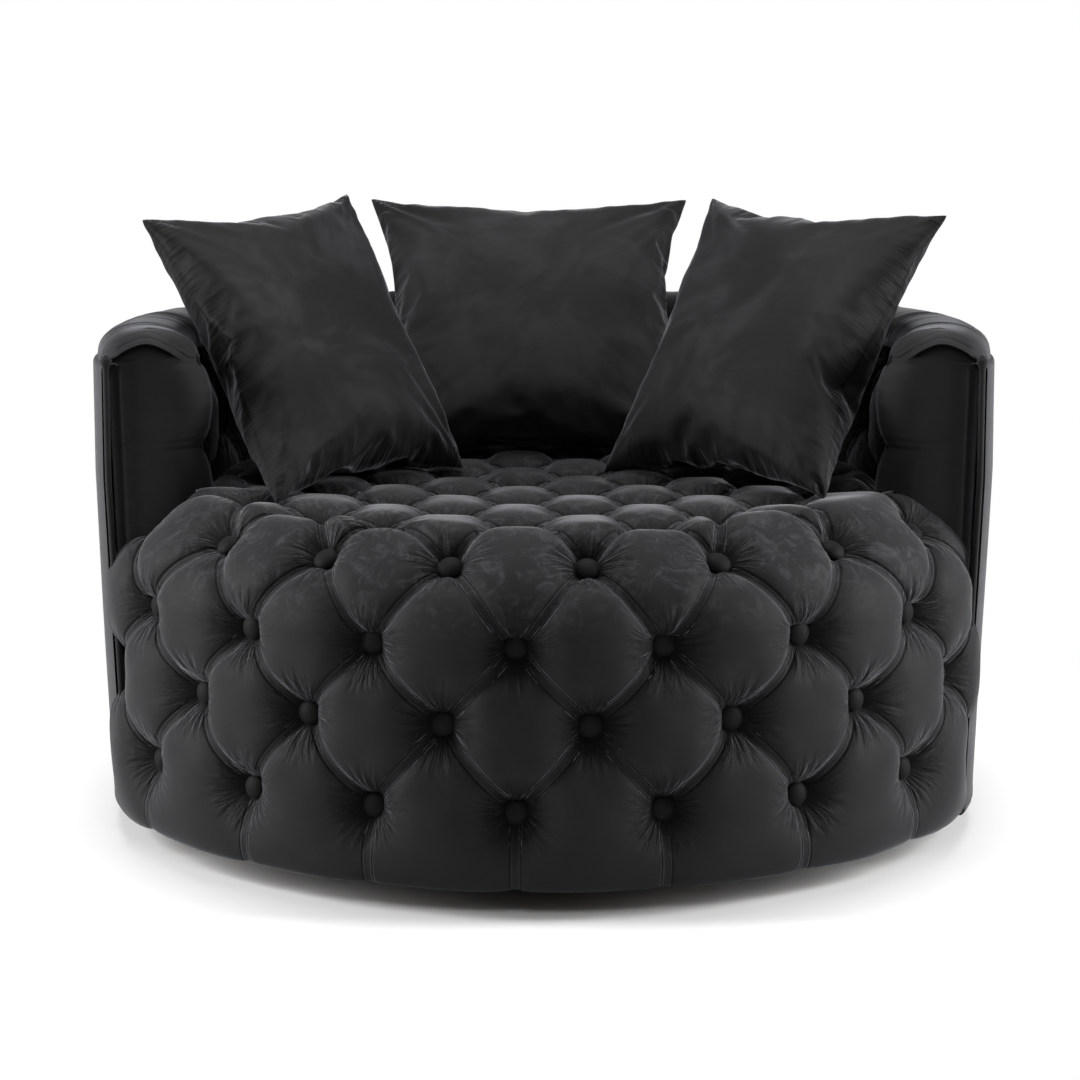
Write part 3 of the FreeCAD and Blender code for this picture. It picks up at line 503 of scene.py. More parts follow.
# Materials: sums on a socket add Math nodes, every other node comes from Finish.node
class Wire:
    """An output socket that can be used in a sum."""

    def __init__(self, finish, socket):
        self.finish = finish
        self.socket = socket

    def joined(self, operation, first, second=None):
        return self.finish.node("ShaderNodeMath", {"operation": operation}, [first, second])

    def __add__(self, other):
        return self.joined("ADD", self, other)

    __radd__ = __add__

    def __sub__(self, other):
        return self.joined("SUBTRACT", self, other)

    def __rsub__(self, other):
        return self.joined("SUBTRACT", other, self)

    def __mul__(self, other):
        return self.joined("MULTIPLY", self, other)

    __rmul__ = __mul__

    def __truediv__(self, other):
        return self.joined("DIVIDE", self, other)

    def __pow__(self, other):
        return self.joined("POWER", self, other)

    def size(self):
        return self.joined("ABSOLUTE", self)

    def sine(self):
        return self.joined("SINE", self)

    def largest(self, other):
        return self.joined("MAXIMUM", self, other)

    def step(self, low, high):
        """0 below low and 1 above high, with an even swing between; it falls where low is above high."""
        ends = {"Value": self, "From Min": low, "From Max": high}
        return self.finish.node("ShaderNodeMapRange", {"interpolation_type": "SMOOTHSTEP"}, ends)


class Finish:
    """A material: its Principled shader has constants on its sockets, and the nodes that vary feed it."""

    def __init__(self, name, colour, roughness, metallic=0.0, sheen=0.0, sheen_roughness=0.5):
        self.material = bpy.data.materials.new(name + "_finish")
        self.material.use_nodes = True
        self.tree = self.material.node_tree
        self.shader = self.tree.nodes["Principled BSDF"]
        self.colour = (*colour, 1)
        constants = {
            "Base Color": self.colour, "Roughness": roughness, "Metallic": metallic,
            "Sheen Weight": sheen, "Sheen Roughness": sheen_roughness,
        }
        for socket, value in constants.items():
            self.shader.inputs[socket].default_value = value

    def node(self, kind, settings=None, values=None, output=0):
        """A node with its settings first, then the values or wires of its sockets."""
        node = self.tree.nodes.new(kind)
        for key, value in (settings or {}).items():
            setattr(node, key, value)
        pairs = values.items() if isinstance(values, dict) else enumerate(values or [])
        for key, value in pairs:
            if value is None:
                continue
            if isinstance(value, Wire):
                self.tree.links.new(value.socket, node.inputs[key])
            else:
                node.inputs[key].default_value = value
        return Wire(self, node.outputs[output])

    def place(self, scale=(1, 1, 1)):
        """Object coordinates, scaled."""
        coordinates = self.node("ShaderNodeTexCoord", output="Object")
        return self.node("ShaderNodeMapping", {}, {"Vector": coordinates, "Scale": scale})

    def stored(self, name):
        """A vector kept on the mesh."""
        return self.node("ShaderNodeAttribute", {"attribute_name": name}, output="Vector")

    def parts(self, vector):
        """The three numbers of a vector."""
        node = self.tree.nodes.new("ShaderNodeSeparateXYZ")
        self.tree.links.new(vector.socket, node.inputs[0])
        return [Wire(self, output) for output in node.outputs]

    def vector(self, x, y, z):
        return self.node("ShaderNodeCombineXYZ", {}, [x, y, z])

    def noise(self, vector, scale, detail=3.0, roughness=0.5, distortion=0.0):
        values = {
            "Vector": vector, "Scale": scale, "Detail": detail,
            "Roughness": roughness, "Distortion": distortion,
        }
        return self.node("ShaderNodeTexNoise", {}, values)

    def shaded(self, share):
        """The finish's own colour times a wire that varies."""
        return self.node(
            "ShaderNodeMix", {"data_type": "RGBA", "blend_type": "MULTIPLY"},
            {0: 1.0, 6: self.colour, 7: self.vector(share, share, share)}, output=2,
        )

    def feed(self, socket, wire):
        self.tree.links.new(wire.socket, self.shader.inputs[socket])

    def bump(self, *layers):
        """Bump nodes one on another: each layer is its height, strength and distance."""
        normal = None
        for height, strength, distance in layers:
            values = {"Height": height, "Strength": strength, "Distance": distance}
            if normal:
                values["Normal"] = normal
            normal = self.node("ShaderNodeBump", {}, values)
        self.feed("Normal", normal)


# The flat pleat beside a fold: a painted highlight line and a painted shade line, which the bump also raises
# and sinks, this far from the fold
LIT_CREASE = 0.0041
SHADED_CREASE = 0.0058


def velvet(name, colours, tufted=False, gathered=False, shade=1.0):
    """Short black pile: a soft sheen, faint brushed clouds and a fine nap."""
    finish = Finish(name, colours.velvet, 0.62, sheen=colours.sheen * shade ** 2, sheen_roughness=0.30)
    finish.shader.inputs["Specular IOR Level"].default_value = 0.07
    finish.shader.inputs["Sheen Tint"].default_value = (0.93, 0.95, 1.0, 1)
    place = finish.place()
    clouds = finish.noise(place, 9.0, 4.0, 0.6, 0.4)
    strokes = finish.noise(finish.place((40, 40, 140)), 1.0, 3.0, 0.65, 0.8)
    nap = finish.noise(place, 1500.0, 2.0, 0.6)
    shade = (0.55 + clouds * 0.9) * (0.8 + strokes * 0.4) * shade
    layers = [(nap, 0.12, 0.0006), (strokes, 0.10, 0.002)]
    if tufted:
        # streaks run out from each button and creases follow each fold; painted shade and highlights go into
        # the colour
        across, up, seed = finish.parts(finish.stored("pit"))
        gap, away, off_fold = finish.parts(finish.stored("fold"))
        length = away.largest(0.004)
        rays = finish.vector(across / length * 2.2, up / length * 2.2, seed * 9.0 + away * 14.0)
        streaks = finish.noise(rays, 2.4, 3.0, 0.55)
        layers.append((streaks, away.step(0.012, 0.022) * away.step(0.062, 0.028) * 0.9, 0.009))
        side = gap.size()
        clear = away.step(0.013, 0.028) * off_fold.step(0.014, 0.009)
        # beside each fold a painted highlight line and a painted shade line, which also feed the bump
        bright = (side - LIT_CREASE).size().step(0.0011, 0.0003) * clear
        dark = (side - SHADED_CREASE).size().step(0.0014, 0.0004) * clear
        layers.append((1.0 - dark + bright * 0.5, 0.6, 0.0016))
        painted_sheen_patches = finish.noise(finish.place((38, 38, 38)), 1.0, 5.0, 0.7, 1.6).step(0.46, 0.70)
        height = finish.parts(place)[2]
        # the colour takes the painted crease lines, and painted shade deepens into each pit towards its
        # button
        shade = shade * (1.0 - dark * 0.55 + bright * 0.9) * (0.10 + away.step(0.004, 0.050))
        # painted sheen in clouds of crushed pile, only high on the shoulder and seat top where the light
        # falls
        shade = shade * (1.0 + painted_sheen_patches * height.step(0.28, 0.38) * 1.6)
    if gathered:
        # tucks run in from the seams, the pile is crushed in clouds, and painted shade darkens the seam line
        # and the edges
        side, along, seed = finish.parts(finish.stored("seam"))
        tucks = finish.noise(finish.vector(along * 55.0, side * 9.0, seed), 1.0, 3.0, 0.6)
        layers.append((tucks, side.step(0.055, 0.004) * 0.65, 0.010))
        # painted shade along the seam crease
        line = side.size().step(0.0045, 0.0015)
        crushed = finish.noise(finish.place((9, 9, 9)), 1.0, 4.0, 0.6, 1.2).step(0.42, 0.66)
        shade = shade * (1.0 - line * 0.75) * (0.70 + crushed * 0.60)
        # painted shade: each face darker towards its seamed edges
        shade = shade * (0.55 + side.size().step(0.0, 0.09) * 0.45)
    finish.feed("Base Color", finish.shaded(shade))
    finish.feed("Roughness", 0.55 + clouds * 0.2)
    finish.bump(*layers)
    return finish.material


def plywood_finish(name, colour):
    """Birch plywood: long face grain, and plies that alternate up its edge."""
    finish = Finish(name, colour, 0.6)
    ply_pair = 0.0026
    grain = finish.noise(finish.place((3, 60, 60)), 1.0, 5.0, 0.6, 0.6)
    height = finish.parts(finish.place())[2]
    plies = (height * (2 * math.pi / ply_pair)).sine() * 0.5 + 0.5
    finish.feed("Base Color", finish.shaded(0.55 + grain * 0.7 + plies * 0.12))
    finish.feed("Roughness", 0.5 + grain * 0.25)
    finish.bump((grain, 0.25, 0.0006), (plies, 0.10, 0.0004))
    return finish.material


def timber_finish():
    """Softwood posts, with long rings."""
    finish = Finish("timber", (0.55, 0.38, 0.21), 0.65)
    rings = finish.noise(finish.place((45, 45, 3)), 1.0, 4.0, 0.6, 1.2)
    finish.feed("Base Color", finish.shaded(0.6 + rings * 0.8))
    finish.feed("Roughness", 0.55 + rings * 0.25)
    finish.bump((rings, 0.3, 0.0008))
    return finish.material


def steel_finish(name, colour, roughness, spangle):
    """Zinc-plated steel: spangled plate or turned bolts."""
    finish = Finish(name, colour, roughness, metallic=1.0)
    cells = {"Vector": finish.place(), "Scale": spangle}
    patches = finish.node("ShaderNodeTexVoronoi", {}, cells, output="Color")
    tone = finish.parts(patches)[0]
    scuffs = finish.noise(finish.place((30, 400, 30)), 1.0, 4.0, 0.7)
    finish.feed("Base Color", finish.shaded(0.75 + tone * 0.25 + scuffs * 0.1))
    finish.feed("Roughness", roughness - 0.08 + tone * 0.12 + scuffs * 0.12)
    finish.bump((scuffs, 0.1, 0.0003))
    return finish.material


def moulded_finish(name, colour, roughness):
    """Moulded plastic with a fine spark texture."""
    finish = Finish(name, colour, roughness)
    spark = finish.noise(finish.place(), 900.0, 2.0, 0.6)
    wear = finish.noise(finish.place(), 25.0, 4.0, 0.6)
    finish.feed("Base Color", finish.shaded(0.85 + wear * 0.3))
    finish.feed("Roughness", roughness - 0.05 + wear * 0.15)
    finish.bump((spark, 0.15, 0.0003))
    return finish.material


def webbing_finish():
    """Elastic webbing: a close weave of ribs both ways, with a little fuzz."""
    finish = Finish("webbing", (0.16, 0.15, 0.14), 0.8)
    rib_rate = 2600.0
    x, y, z = finish.parts(finish.place())
    ribs = (x * rib_rate).sine() * (y * rib_rate).sine() * 0.5 + 0.5
    fuzz = finish.noise(finish.place(), 600.0, 3.0, 0.6)
    finish.feed("Base Color", finish.shaded(0.5 + ribs * 0.7 + fuzz * 0.3))
    finish.feed("Roughness", 0.75 + fuzz * 0.15)
    finish.bump((ribs, 0.5, 0.0008), (fuzz, 0.2, 0.0004))
    return finish.material


def foam_finish():
    """Pale foam with open cells, a little yellowed in clouds."""
    finish = Finish("foam", (0.72, 0.68, 0.55), 0.9)
    cells = finish.node("ShaderNodeTexVoronoi", {}, {"Vector": finish.place(), "Scale": 420.0})
    clouds = finish.noise(finish.place(), 12.0, 3.0)
    finish.feed("Base Color", finish.shaded(0.7 + cells * 0.4 + clouds * 0.2))
    finish.feed("Roughness", 0.85 + clouds * 0.1)
    finish.bump((cells, 0.6, 0.0015))
    return finish.material


def dust_cloth_finish():
    """Thin bonded cloth, black, with its pattern of small welds."""
    finish = Finish("dust_cloth", (0.02, 0.02, 0.02), 0.9)
    pattern = {"Vector": finish.place(), "Scale": 450.0, "Randomness": 0.1}
    welds = finish.node("ShaderNodeTexVoronoi", {}, pattern)
    fibres = finish.noise(finish.place((300, 60, 60)), 1.0, 4.0, 0.7, 1.5)
    finish.feed("Base Color", finish.shaded(0.6 + fibres * 0.8))
    finish.feed("Roughness", 0.8 + fibres * 0.15)
    finish.bump((welds, 0.4, 0.0005), (fibres, 0.3, 0.0005))
    return finish.material


def material(name):
    """A finish that has been made, by its name."""
    found = bpy.data.materials.get(name + "_finish")
    if found is None:
        raise RuntimeError(f"the material {name} has not been made")
    return found


# Geometry Nodes: what repeats is placed on points by one tree for each kind
class Placing:
    """A node tree that puts a small shape on every point of a mesh, turned to its aim."""

    def __init__(self, name, numbers):
        self.tree = bpy.data.node_groups.new(name, "GeometryNodeTree")
        interface = self.tree.interface
        interface.new_socket("Geometry", in_out="INPUT", socket_type="NodeSocketGeometry")
        for label, value in numbers:
            socket = interface.new_socket(label, in_out="INPUT", socket_type="NodeSocketFloat")
            socket.subtype = "DISTANCE"
            socket.default_value = value
        interface.new_socket("Material", in_out="INPUT", socket_type="NodeSocketMaterial")
        interface.new_socket("Geometry", in_out="OUTPUT", socket_type="NodeSocketGeometry")
        self.entry = self.tree.nodes.new("NodeGroupInput")

    def node(self, kind, settings=None, values=None, output=0):
        node = self.tree.nodes.new(kind)
        for key, value in (settings or {}).items():
            setattr(node, key, value)
        for key, value in (values or {}).items():
            if isinstance(value, bpy.types.NodeSocket):
                self.tree.links.new(value, node.inputs[key])
            else:
                node.inputs[key].default_value = value
        return node.outputs[output]

    def given(self, label):
        return self.entry.outputs[label]

    def measures(self, *labels):
        """A vector of three given sizes."""
        values = dict(zip("XYZ", [self.given(label) for label in labels]))
        return self.node("ShaderNodeCombineXYZ", {}, values)

    def finish(self, shape):
        aim = self.node("GeometryNodeInputNamedAttribute", {"data_type": "FLOAT_VECTOR"}, {"Name": "aim"})
        turn = self.node("FunctionNodeAlignRotationToVector", {"axis": "Z"}, {"Vector": aim})
        copies = {"Points": self.given("Geometry"), "Instance": shape, "Rotation": turn}
        placed = self.node("GeometryNodeInstanceOnPoints", {}, copies)
        real = self.node("GeometryNodeRealizeInstances", {}, {"Geometry": placed})
        cover = {"Geometry": real, "Material": self.given("Material")}
        dressed = self.node("GeometryNodeSetMaterial", {}, cover)
        leave = self.tree.nodes.new("NodeGroupOutput")
        self.tree.links.new(dressed, leave.inputs["Geometry"])
        return self.tree


def button_tree():
    """Covered buttons: a low dome of cloth drawn tight over its shell."""
    placing = Placing("covered_buttons", (("Button Radius", 0.014), ("Button Height", 0.008)))
    ball = placing.node("GeometryNodeMeshUVSphere", {}, {"Segments": 24, "Rings": 12, "Radius": 1.0})
    size = placing.measures("Button Radius", "Button Radius", "Button Height")
    flat = placing.node("GeometryNodeTransform", {}, {"Geometry": ball, "Scale": size})
    smooth = placing.node("GeometryNodeSetShadeSmooth", {}, {"Geometry": flat})
    return placing.finish(smooth)


def staple_tree():
    """Upholstery staples: a thin wire crown."""
    placing = Placing("staples", (("Crown", 0.010), ("Wire", 0.0009)))
    size = placing.measures("Crown", "Wire", "Wire")
    bar = placing.node("GeometryNodeMeshCube", {}, {"Size": size})
    return placing.finish(bar)


def placed(name, tree, points, aims, finish, body="chair", **numbers):
    """The tree's shape on each point, as a plain mesh that rides on the body."""
    mesh = bpy.data.meshes.new(name + "_points")
    mesh.from_pydata([tuple(point) for point in points], [], [])
    aim = mesh.attributes.new("aim", "FLOAT_VECTOR", "POINT")
    aim.data.foreach_set("vector", np.asarray(aims, np.float32).ravel())
    carrier = bpy.data.objects.new(name + "_carrier", mesh)
    bpy.context.scene.collection.objects.link(carrier)
    modifier = carrier.modifiers.new("Placing", "NODES")
    modifier.node_group = tree
    for item in tree.interface.items_tree:
        if item.in_out == "INPUT" and item.name in numbers:
            modifier[item.identifier] = numbers[item.name]
        elif item.in_out == "INPUT" and item.name == "Material":
            modifier[item.identifier] = finish
    graph = bpy.context.evaluated_depsgraph_get()
    made = bpy.data.meshes.new_from_object(carrier.evaluated_get(graph))
    made.name = name
    carrier.modifiers.remove(modifier)
    bpy.data.objects.remove(carrier)
    piece = bpy.data.objects.new(name, made)
    bpy.context.scene.collection.objects.link(piece)
    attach(piece, body)
    return piece


class ChairOperator:
    """What the operators share: they can be undone, and reach the chair's settings."""

    bl_options = {"REGISTER", "UNDO"}

    def settings(self, context):
        return context.scene.barrel_chair


class CHAIR_OT_finishes(ChairOperator, bpy.types.Operator):
    """Make the materials of the chair"""

    bl_idname = "chair.finishes"
    bl_label = "Finishes"

    def execute(self, context):
        colours = self.settings(context).colours
        velvet("tufted_velvet", colours, tufted=True)
        velvet("smooth_velvet", colours)
        # a darker copy of the velvet with less sheen: painted shade for the buttons deep in their pits
        velvet("button_velvet", colours, shade=0.45)
        velvet("pillow_velvet", colours, gathered=True)
        plywood_finish("plywood", colours.plywood)
        plywood_finish("stained_plywood", (0.022, 0.020, 0.018))
        timber_finish()
        steel_finish("plate_steel", colours.steel, 0.38, 60.0)
        steel_finish("bolt_steel", colours.steel, 0.28, 400.0)
        moulded_finish("glide_plastic", (0.02, 0.02, 0.02), 0.45)
        moulded_finish("nylon", (0.75, 0.74, 0.70), 0.4)
        webbing_finish()
        foam_finish()
        dust_cloth_finish()
        return {"FINISHED"}


class CHAIR_OT_hidden_parts(ChairOperator, bpy.types.Operator):
    """Give the base, the bearing and the frame their wood, steel, nylon and webbing"""

    bl_idname = "chair.hidden_parts"
    bl_label = "Base, Bearing and Frame"

    FINISHES = {
        "plywood": ("seat_top_hoop", "seat_front_skin", "barrel_top_hoop"),
        "stained_plywood": ("base_plinth", "seat_board", "barrel_bottom_hoop"),
        "timber": ("seat_posts", "barrel_uprights"),
        "plate_steel": (
            "lower_bearing_plate", "upper_bearing_plate", "roller_cage", "barrel_brackets", "king_pin"
        ),
        "bolt_steel": ("plinth_bolts", "seat_bolts", "barrel_bolts"),
        "glide_plastic": ("floor_glides",),
        "nylon": ("bearing_rollers",),
        "webbing": ("webbing_lengthwise", "webbing_crosswise"),
    }

    def execute(self, context):
        for name, nodes in self.FINISHES.items():
            for node in nodes:
                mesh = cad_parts[node].data
                mesh.materials.clear()
                mesh.materials.append(material(name))
        return {"FINISHED"}


class CHAIR_OT_foam(ChairOperator, bpy.types.Operator):
    """Lay the seat's foam, with soft edges, between the webbing and the buttoned cover"""

    bl_idname = "chair.foam"
    bl_label = "Seat Foam"

    def execute(self, context):
        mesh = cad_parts["seat_foam"].data.copy()
        shape = bmesh.new()
        shape.from_mesh(mesh)
        bmesh.ops.remove_doubles(shape, verts=shape.verts, dist=0.00001)
        bmesh.ops.dissolve_limit(shape, angle_limit=0.02, verts=shape.verts, edges=shape.edges)
        sharp = [edge for edge in shape.edges if len(edge.link_faces) == 2 and edge.calc_face_angle() > 0.8]
        bmesh.ops.bevel(shape, geom=sharp, offset=0.005, segments=3, affect="EDGES", profile=0.5)
        shape.to_mesh(mesh)
        shape.free()
        mesh.materials.clear()
        mesh.materials.append(material("foam"))
        piece = bpy.data.objects.new("foam_block", mesh)
        context.scene.collection.objects.link(piece)
        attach(piece, "chair")
        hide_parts("seat_foam")
        return {"FINISHED"}


class CHAIR_OT_drum(ChairOperator, bpy.types.Operator):
    """Button the velvet round the seat's front and over its shoulder"""

    bl_idname = "chair.drum"
    bl_label = "Buttoned Seat Front"

    def execute(self, context):
        sizes = self.settings(context).tufting
        rows, columns = 172, 545
        step, end = 0.0005, PROFILE[2][-1]
        run = np.linspace(0, end, rows)
        radius, height = profile_at(run)
        ahead = profile_at(np.clip(run + step, 0, end))
        behind = profile_at(np.clip(run - step, 0, end))
        slope_out, slope_up = ahead[0] - behind[0], ahead[1] - behind[1]
        length = np.hypot(slope_out, slope_up)
        limit = np.arccos(-ARM_FACE / (radius * (1 + END_FULLNESS)))
        ends = [np.interp(side * limit, OPEN_TURNS, EVEN_TURNS)[:, None] for side in (-1, 1)]
        turn = ends[0] + (ends[1] - ends[0]) * np.linspace(0, 1, columns)[None, :]
        points = polar(radius[:, None], turn, height[:, None]).reshape(-1, 3)
        outward = polar((slope_up / length)[:, None], turn, -(slope_out / length)[:, None]).reshape(-1, 3)
        moved, pit, fold = pressed(points, outward, DRUM_GRAPH, sizes)
        # the hem is turned under and drawn to the frame behind it
        grid = swung(moved).reshape(rows, columns, 3)
        turned = grid[0] * np.array((0.972, 0.972, 1))
        drawn = grid[0] * np.array((0.955, 0.955, 1)) + np.array((0, 0, 0.018))
        grid = np.concatenate((drawn[None], turned[None], grid))
        faces = grid_faces(rows + 2, columns)
        piece = new_piece("seat_front_tufting", grid, faces, material("tufted_velvet"))
        for name, values in (("pit", pit), ("fold", fold)):
            keep_values(piece, name, np.concatenate((values[:columns], values[:columns], values)))
        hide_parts("seat_front_pad")
        return {"FINISHED"}


class CHAIR_OT_seat_top(ChairOperator, bpy.types.Operator):
    """Button the velvet of the seat top, and tuck its rear edge inside the barrel"""

    bl_idname = "chair.seat_top"
    bl_label = "Buttoned Seat Top"

    def execute(self, context):
        sizes = self.settings(context).tufting
        columns = 620
        lip, drop, skirt_height, seam_sink = 0.038, 0.026, 0.356, 0.0004
        turn = np.linspace(0, 2 * math.pi, columns, endpoint=False)
        ahead = -np.cos(turn)
        reach = np.where(ahead * WELL_RADIUS < ARM_FACE, SEAM_RADIUS + 0.002, WELL_RADIUS)
        shares = np.concatenate((np.linspace(0.004, 0.5, 36)[:-1], np.linspace(0.5, 1.0, 74)))
        flat = polar(reach[None, :] * shares[:, None], turn[None, :], SEAT_CREST)
        radius = np.hypot(flat[..., 0], flat[..., 1])
        tucked = (flat[..., 1] > ARM_FACE - 0.001).astype(float)
        edge = smooth_share(radius, WELL_RADIUS - lip, WELL_RADIUS) * tucked
        flat[..., 2] -= drop * (1 - np.sqrt(1 - edge ** 2 * 0.98))
        sunk = (radius > SEAM_RADIUS - 0.002) * seam_sink
        points = flat.reshape(-1, 3)
        outward = np.tile(np.array((0.0, 0.0, 1.0)), (len(points), 1))
        moved, pit, fold = pressed(points, outward, DRUM_GRAPH, sizes)
        grid = moved.reshape(len(shares), columns, 3)
        grid[..., 2] -= sunk
        grid = swung(grid)
        skirt = grid[-1].copy()
        skirt[:, 2] = skirt_height
        grid = np.concatenate((grid, skirt[None]))
        points = np.concatenate((grid.reshape(-1, 3), [[0, 0, grid[0, :, 2].mean()]]))
        faces = [tuple(reversed(face)) for face in grid_faces(len(shares) + 1, columns, around=True)]
        pole = len(points) - 1
        faces += [(pole, column, (column + 1) % columns) for column in range(columns)]
        piece = new_piece("seat_top_tufting", points, faces, material("tufted_velvet"))
        for name, values in (("pit", pit), ("fold", fold)):
            keep_values(piece, name, np.concatenate((values, values[-columns:], values[:1])))
        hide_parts("seat_top_pad")
        return {"FINISHED"}


def back_turn(column, row):
    """Where a column of the barrel's inside stands; the middle row lies half a column before the others."""
    return math.pi / 2 + (column + (0 if row == 1 else 0.5)) * COLUMN_TURN


def back_graph():
    """Pits and folds of the barrel's inside, on its fullest surface."""
    graph = Graph()
    columns = range(-3, 14)
    pleat_foot, pleat_top = 0.31, 0.61
    spots = {}

    def on_back(turn, height):
        return polar(BACK_CREST, turn, height)

    for row, height in enumerate(BACK_ROWS):
        for column in columns:
            turn = back_turn(column, row)
            spots[row, column] = (turn, height)
            graph.add_pit(on_back(turn, height), polar(-1.0, turn, 0.0), BACK_PIT)
    for column in columns:
        for row in (0, 2):
            for other in (column - 1, column):
                if (row, other) in spots:
                    graph.add_fold(spots[1, column], spots[row, other], BACK_FOLD, on_back)
        for row, end in ((0, pleat_foot), (2, pleat_top)):
            spot = spots[row, column]
            graph.add_fold(spot, (spot[0], end), BACK_PLEAT, on_back)
    return graph.arrays()


class CHAIR_OT_back(ChairOperator, bpy.types.Operator):
    """Button the inside of the barrel, with pleats from the upper row to the roll"""

    bl_idname = "chair.back"
    bl_label = "Buttoned Back"

    def execute(self, context):
        sizes = self.settings(context).tufting
        rows, columns = 78, 480
        foot, flare, top = 0.334, 0.520, 0.572
        height = np.linspace(foot, top, rows)
        ends = math.acos((ARM_BACK - 0.003) / BACK_CREST)
        turn = np.linspace(math.pi - ends, math.pi + ends, columns)
        inset = 0.014 * smooth_share(height, flare, top)
        points = polar((BACK_CREST + inset)[:, None], turn[None, :], height[:, None]).reshape(-1, 3)
        outward = polar(-1.0, np.tile(turn, rows), 0.0)
        moved, pit, fold = pressed(points, outward, back_graph(), sizes, seed=2.0)
        faces = [tuple(reversed(face)) for face in grid_faces(rows, columns)]
        piece = new_piece("back_tufting", moved, faces, material("tufted_velvet"))
        keep_values(piece, "pit", pit)
        keep_values(piece, "fold", fold)
        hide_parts("back_inner_pad")
        return {"FINISHED"}


class CHAIR_OT_buttons(ChairOperator, bpy.types.Operator):
    """Sew in the covered buttons of the seat front, the seat top and the back"""

    bl_idname = "chair.buttons"
    bl_label = "Covered Buttons"

    def sew(self, context, name, node, points, aims):
        sizes = self.settings(context).tufting
        numbers = {"Button Radius": sizes.button_radius, "Button Height": sizes.button_height}
        piece = placed(name, self.tree, points, aims, material("button_velvet"), **numbers)
        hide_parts(node)

    def execute(self, context):
        self.tree = button_tree()
        names = ("lower", "second", "third", "top")
        face_limit, back_limit, proud = ARM_FACE - 0.0224, ARM_BACK + 0.0168, 0.002
        for row, (height, shift) in enumerate(ROWS):
            tilt = TOP_ROW_TILT if row == 3 else 0.0
            radius = TOP_ROW_RADIUS if row == 3 else SIDE_ROW_RADIUS
            points, aims = [], []
            for column in range(-5, 6):
                point = polar(radius, FIRST_TURN + (column + shift) * COLUMN_TURN, height)
                if point[1] < face_limit:
                    point = swung(point)
                    turn = math.atan2(point[0], -point[1])
                    aim = polar(math.cos(tilt), turn, math.sin(tilt))
                    points.append(point + aim * proud)
                    aims.append(aim)
            self.sew(context, f"buttons_{names[row]}", f"seat_row_{names[row]}_buttons", points, aims)
        places = [
            swung(np.array((x, y, SEAT_BUTTON_HEIGHT)))
            for x, y in seat_pits().values() if lies_inside(x, y, BUTTON_LIMITS)
        ]
        self.sew(context, "buttons_seat_top", "seat_top_buttons", places, [(0, 0, 1)] * len(places))
        points, aims = [], []
        for row in (1, 2):
            for column in range(-1, 12):
                turn = back_turn(column, row)
                point = polar(BACK_BUTTON_RADIUS, turn, BACK_ROWS[row])
                if point[1] > back_limit:
                    points.append(point)
                    aims.append(polar(-1.0, turn, 0.0))
        self.sew(context, "buttons_back", "back_buttons", points, aims)
        return {"FINISHED"}


PANEL_SEAMS = (math.radians(132), math.radians(228))
FOOT_DRAW = 0.015
DRAW_HEIGHT = 0.399


def barrel_radius(height):
    """Radius of the barrel's outer face, which draws in towards its foot."""
    return BARREL - FOOT_DRAW * (1 - np.clip((height - HEM) / DRAW_HEIGHT, 0, 1))


class CHAIR_OT_outer_panel(ChairOperator, bpy.types.Operator):
    """Stretch the smooth velvet panel round the outside of the barrel"""

    bl_idname = "chair.outer_panel"
    bl_label = "Outer Panel"

    def execute(self, context):
        columns = 520
        low, high = HEM, ROLL_FOOT
        bend, edge, tuck, slack = 0.006, 0.007, 0.0135, 0.0014
        section = [(tuck, low + 0.020), (0.0125, low + 0.004), (0.0095, low + 0.0008), (bend, low)]
        for swing in np.linspace(0, math.pi / 2, 5)[:-1]:
            section.append((bend - bend * math.sin(swing), low + bend - bend * math.cos(swing)))
        section += [(0.0, height) for height in np.linspace(low + bend, high - edge, 96)]
        for swing in np.linspace(0.3, 1.57, 5):
            section.append((edge - edge * math.cos(swing), high - edge + edge * math.sin(swing)))
        section.append((tuck, high + 0.0005))
        inset, height = np.array(section).T
        radius = barrel_radius(height) - inset
        limit = np.arccos(-(ARM_FACE + 0.0008) / radius)
        turn = math.pi + np.linspace(-1, 1, columns)[None, :] * (math.pi - limit[:, None])
        points = polar(radius[:, None], turn, height[:, None])
        swell = wander(points.reshape(-1, 3) * np.array((1, 1, 0.45)), 0.11, 4.0) * 0.0016
        # two upright seams, each sunk between the swells of its turned edges
        seams = np.zeros(turn.shape)
        for place in PANEL_SEAMS:
            beside = np.abs(turn - place) * BARREL
            seams += np.exp(-(beside / 0.0022) ** 2) * 0.0022
            seams -= np.exp(-((beside - 0.008) / 0.006) ** 2) * 0.0006
        puckers = wander(np.stack((turn * 30, height[:, None] * 6 + 0 * turn, 0 * turn), -1), 1.0, 6.0)
        tight = np.exp(-(height - low) / 0.02)[:, None] * 0.0012 * puckers.reshape(turn.shape)
        rounded = np.clip((height - low) / 0.01, 0, 1)[:, None]
        depth = (swell.reshape(turn.shape) - slack - seams + tight) * rounded
        points = points + polar(1.0, turn, 0.0) * depth[..., None]
        faces = grid_faces(len(section), columns)
        piece = new_piece("outer_panel", points, faces, material("smooth_velvet"))
        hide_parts("barrel_outer_panel")
        return {"FINISHED"}


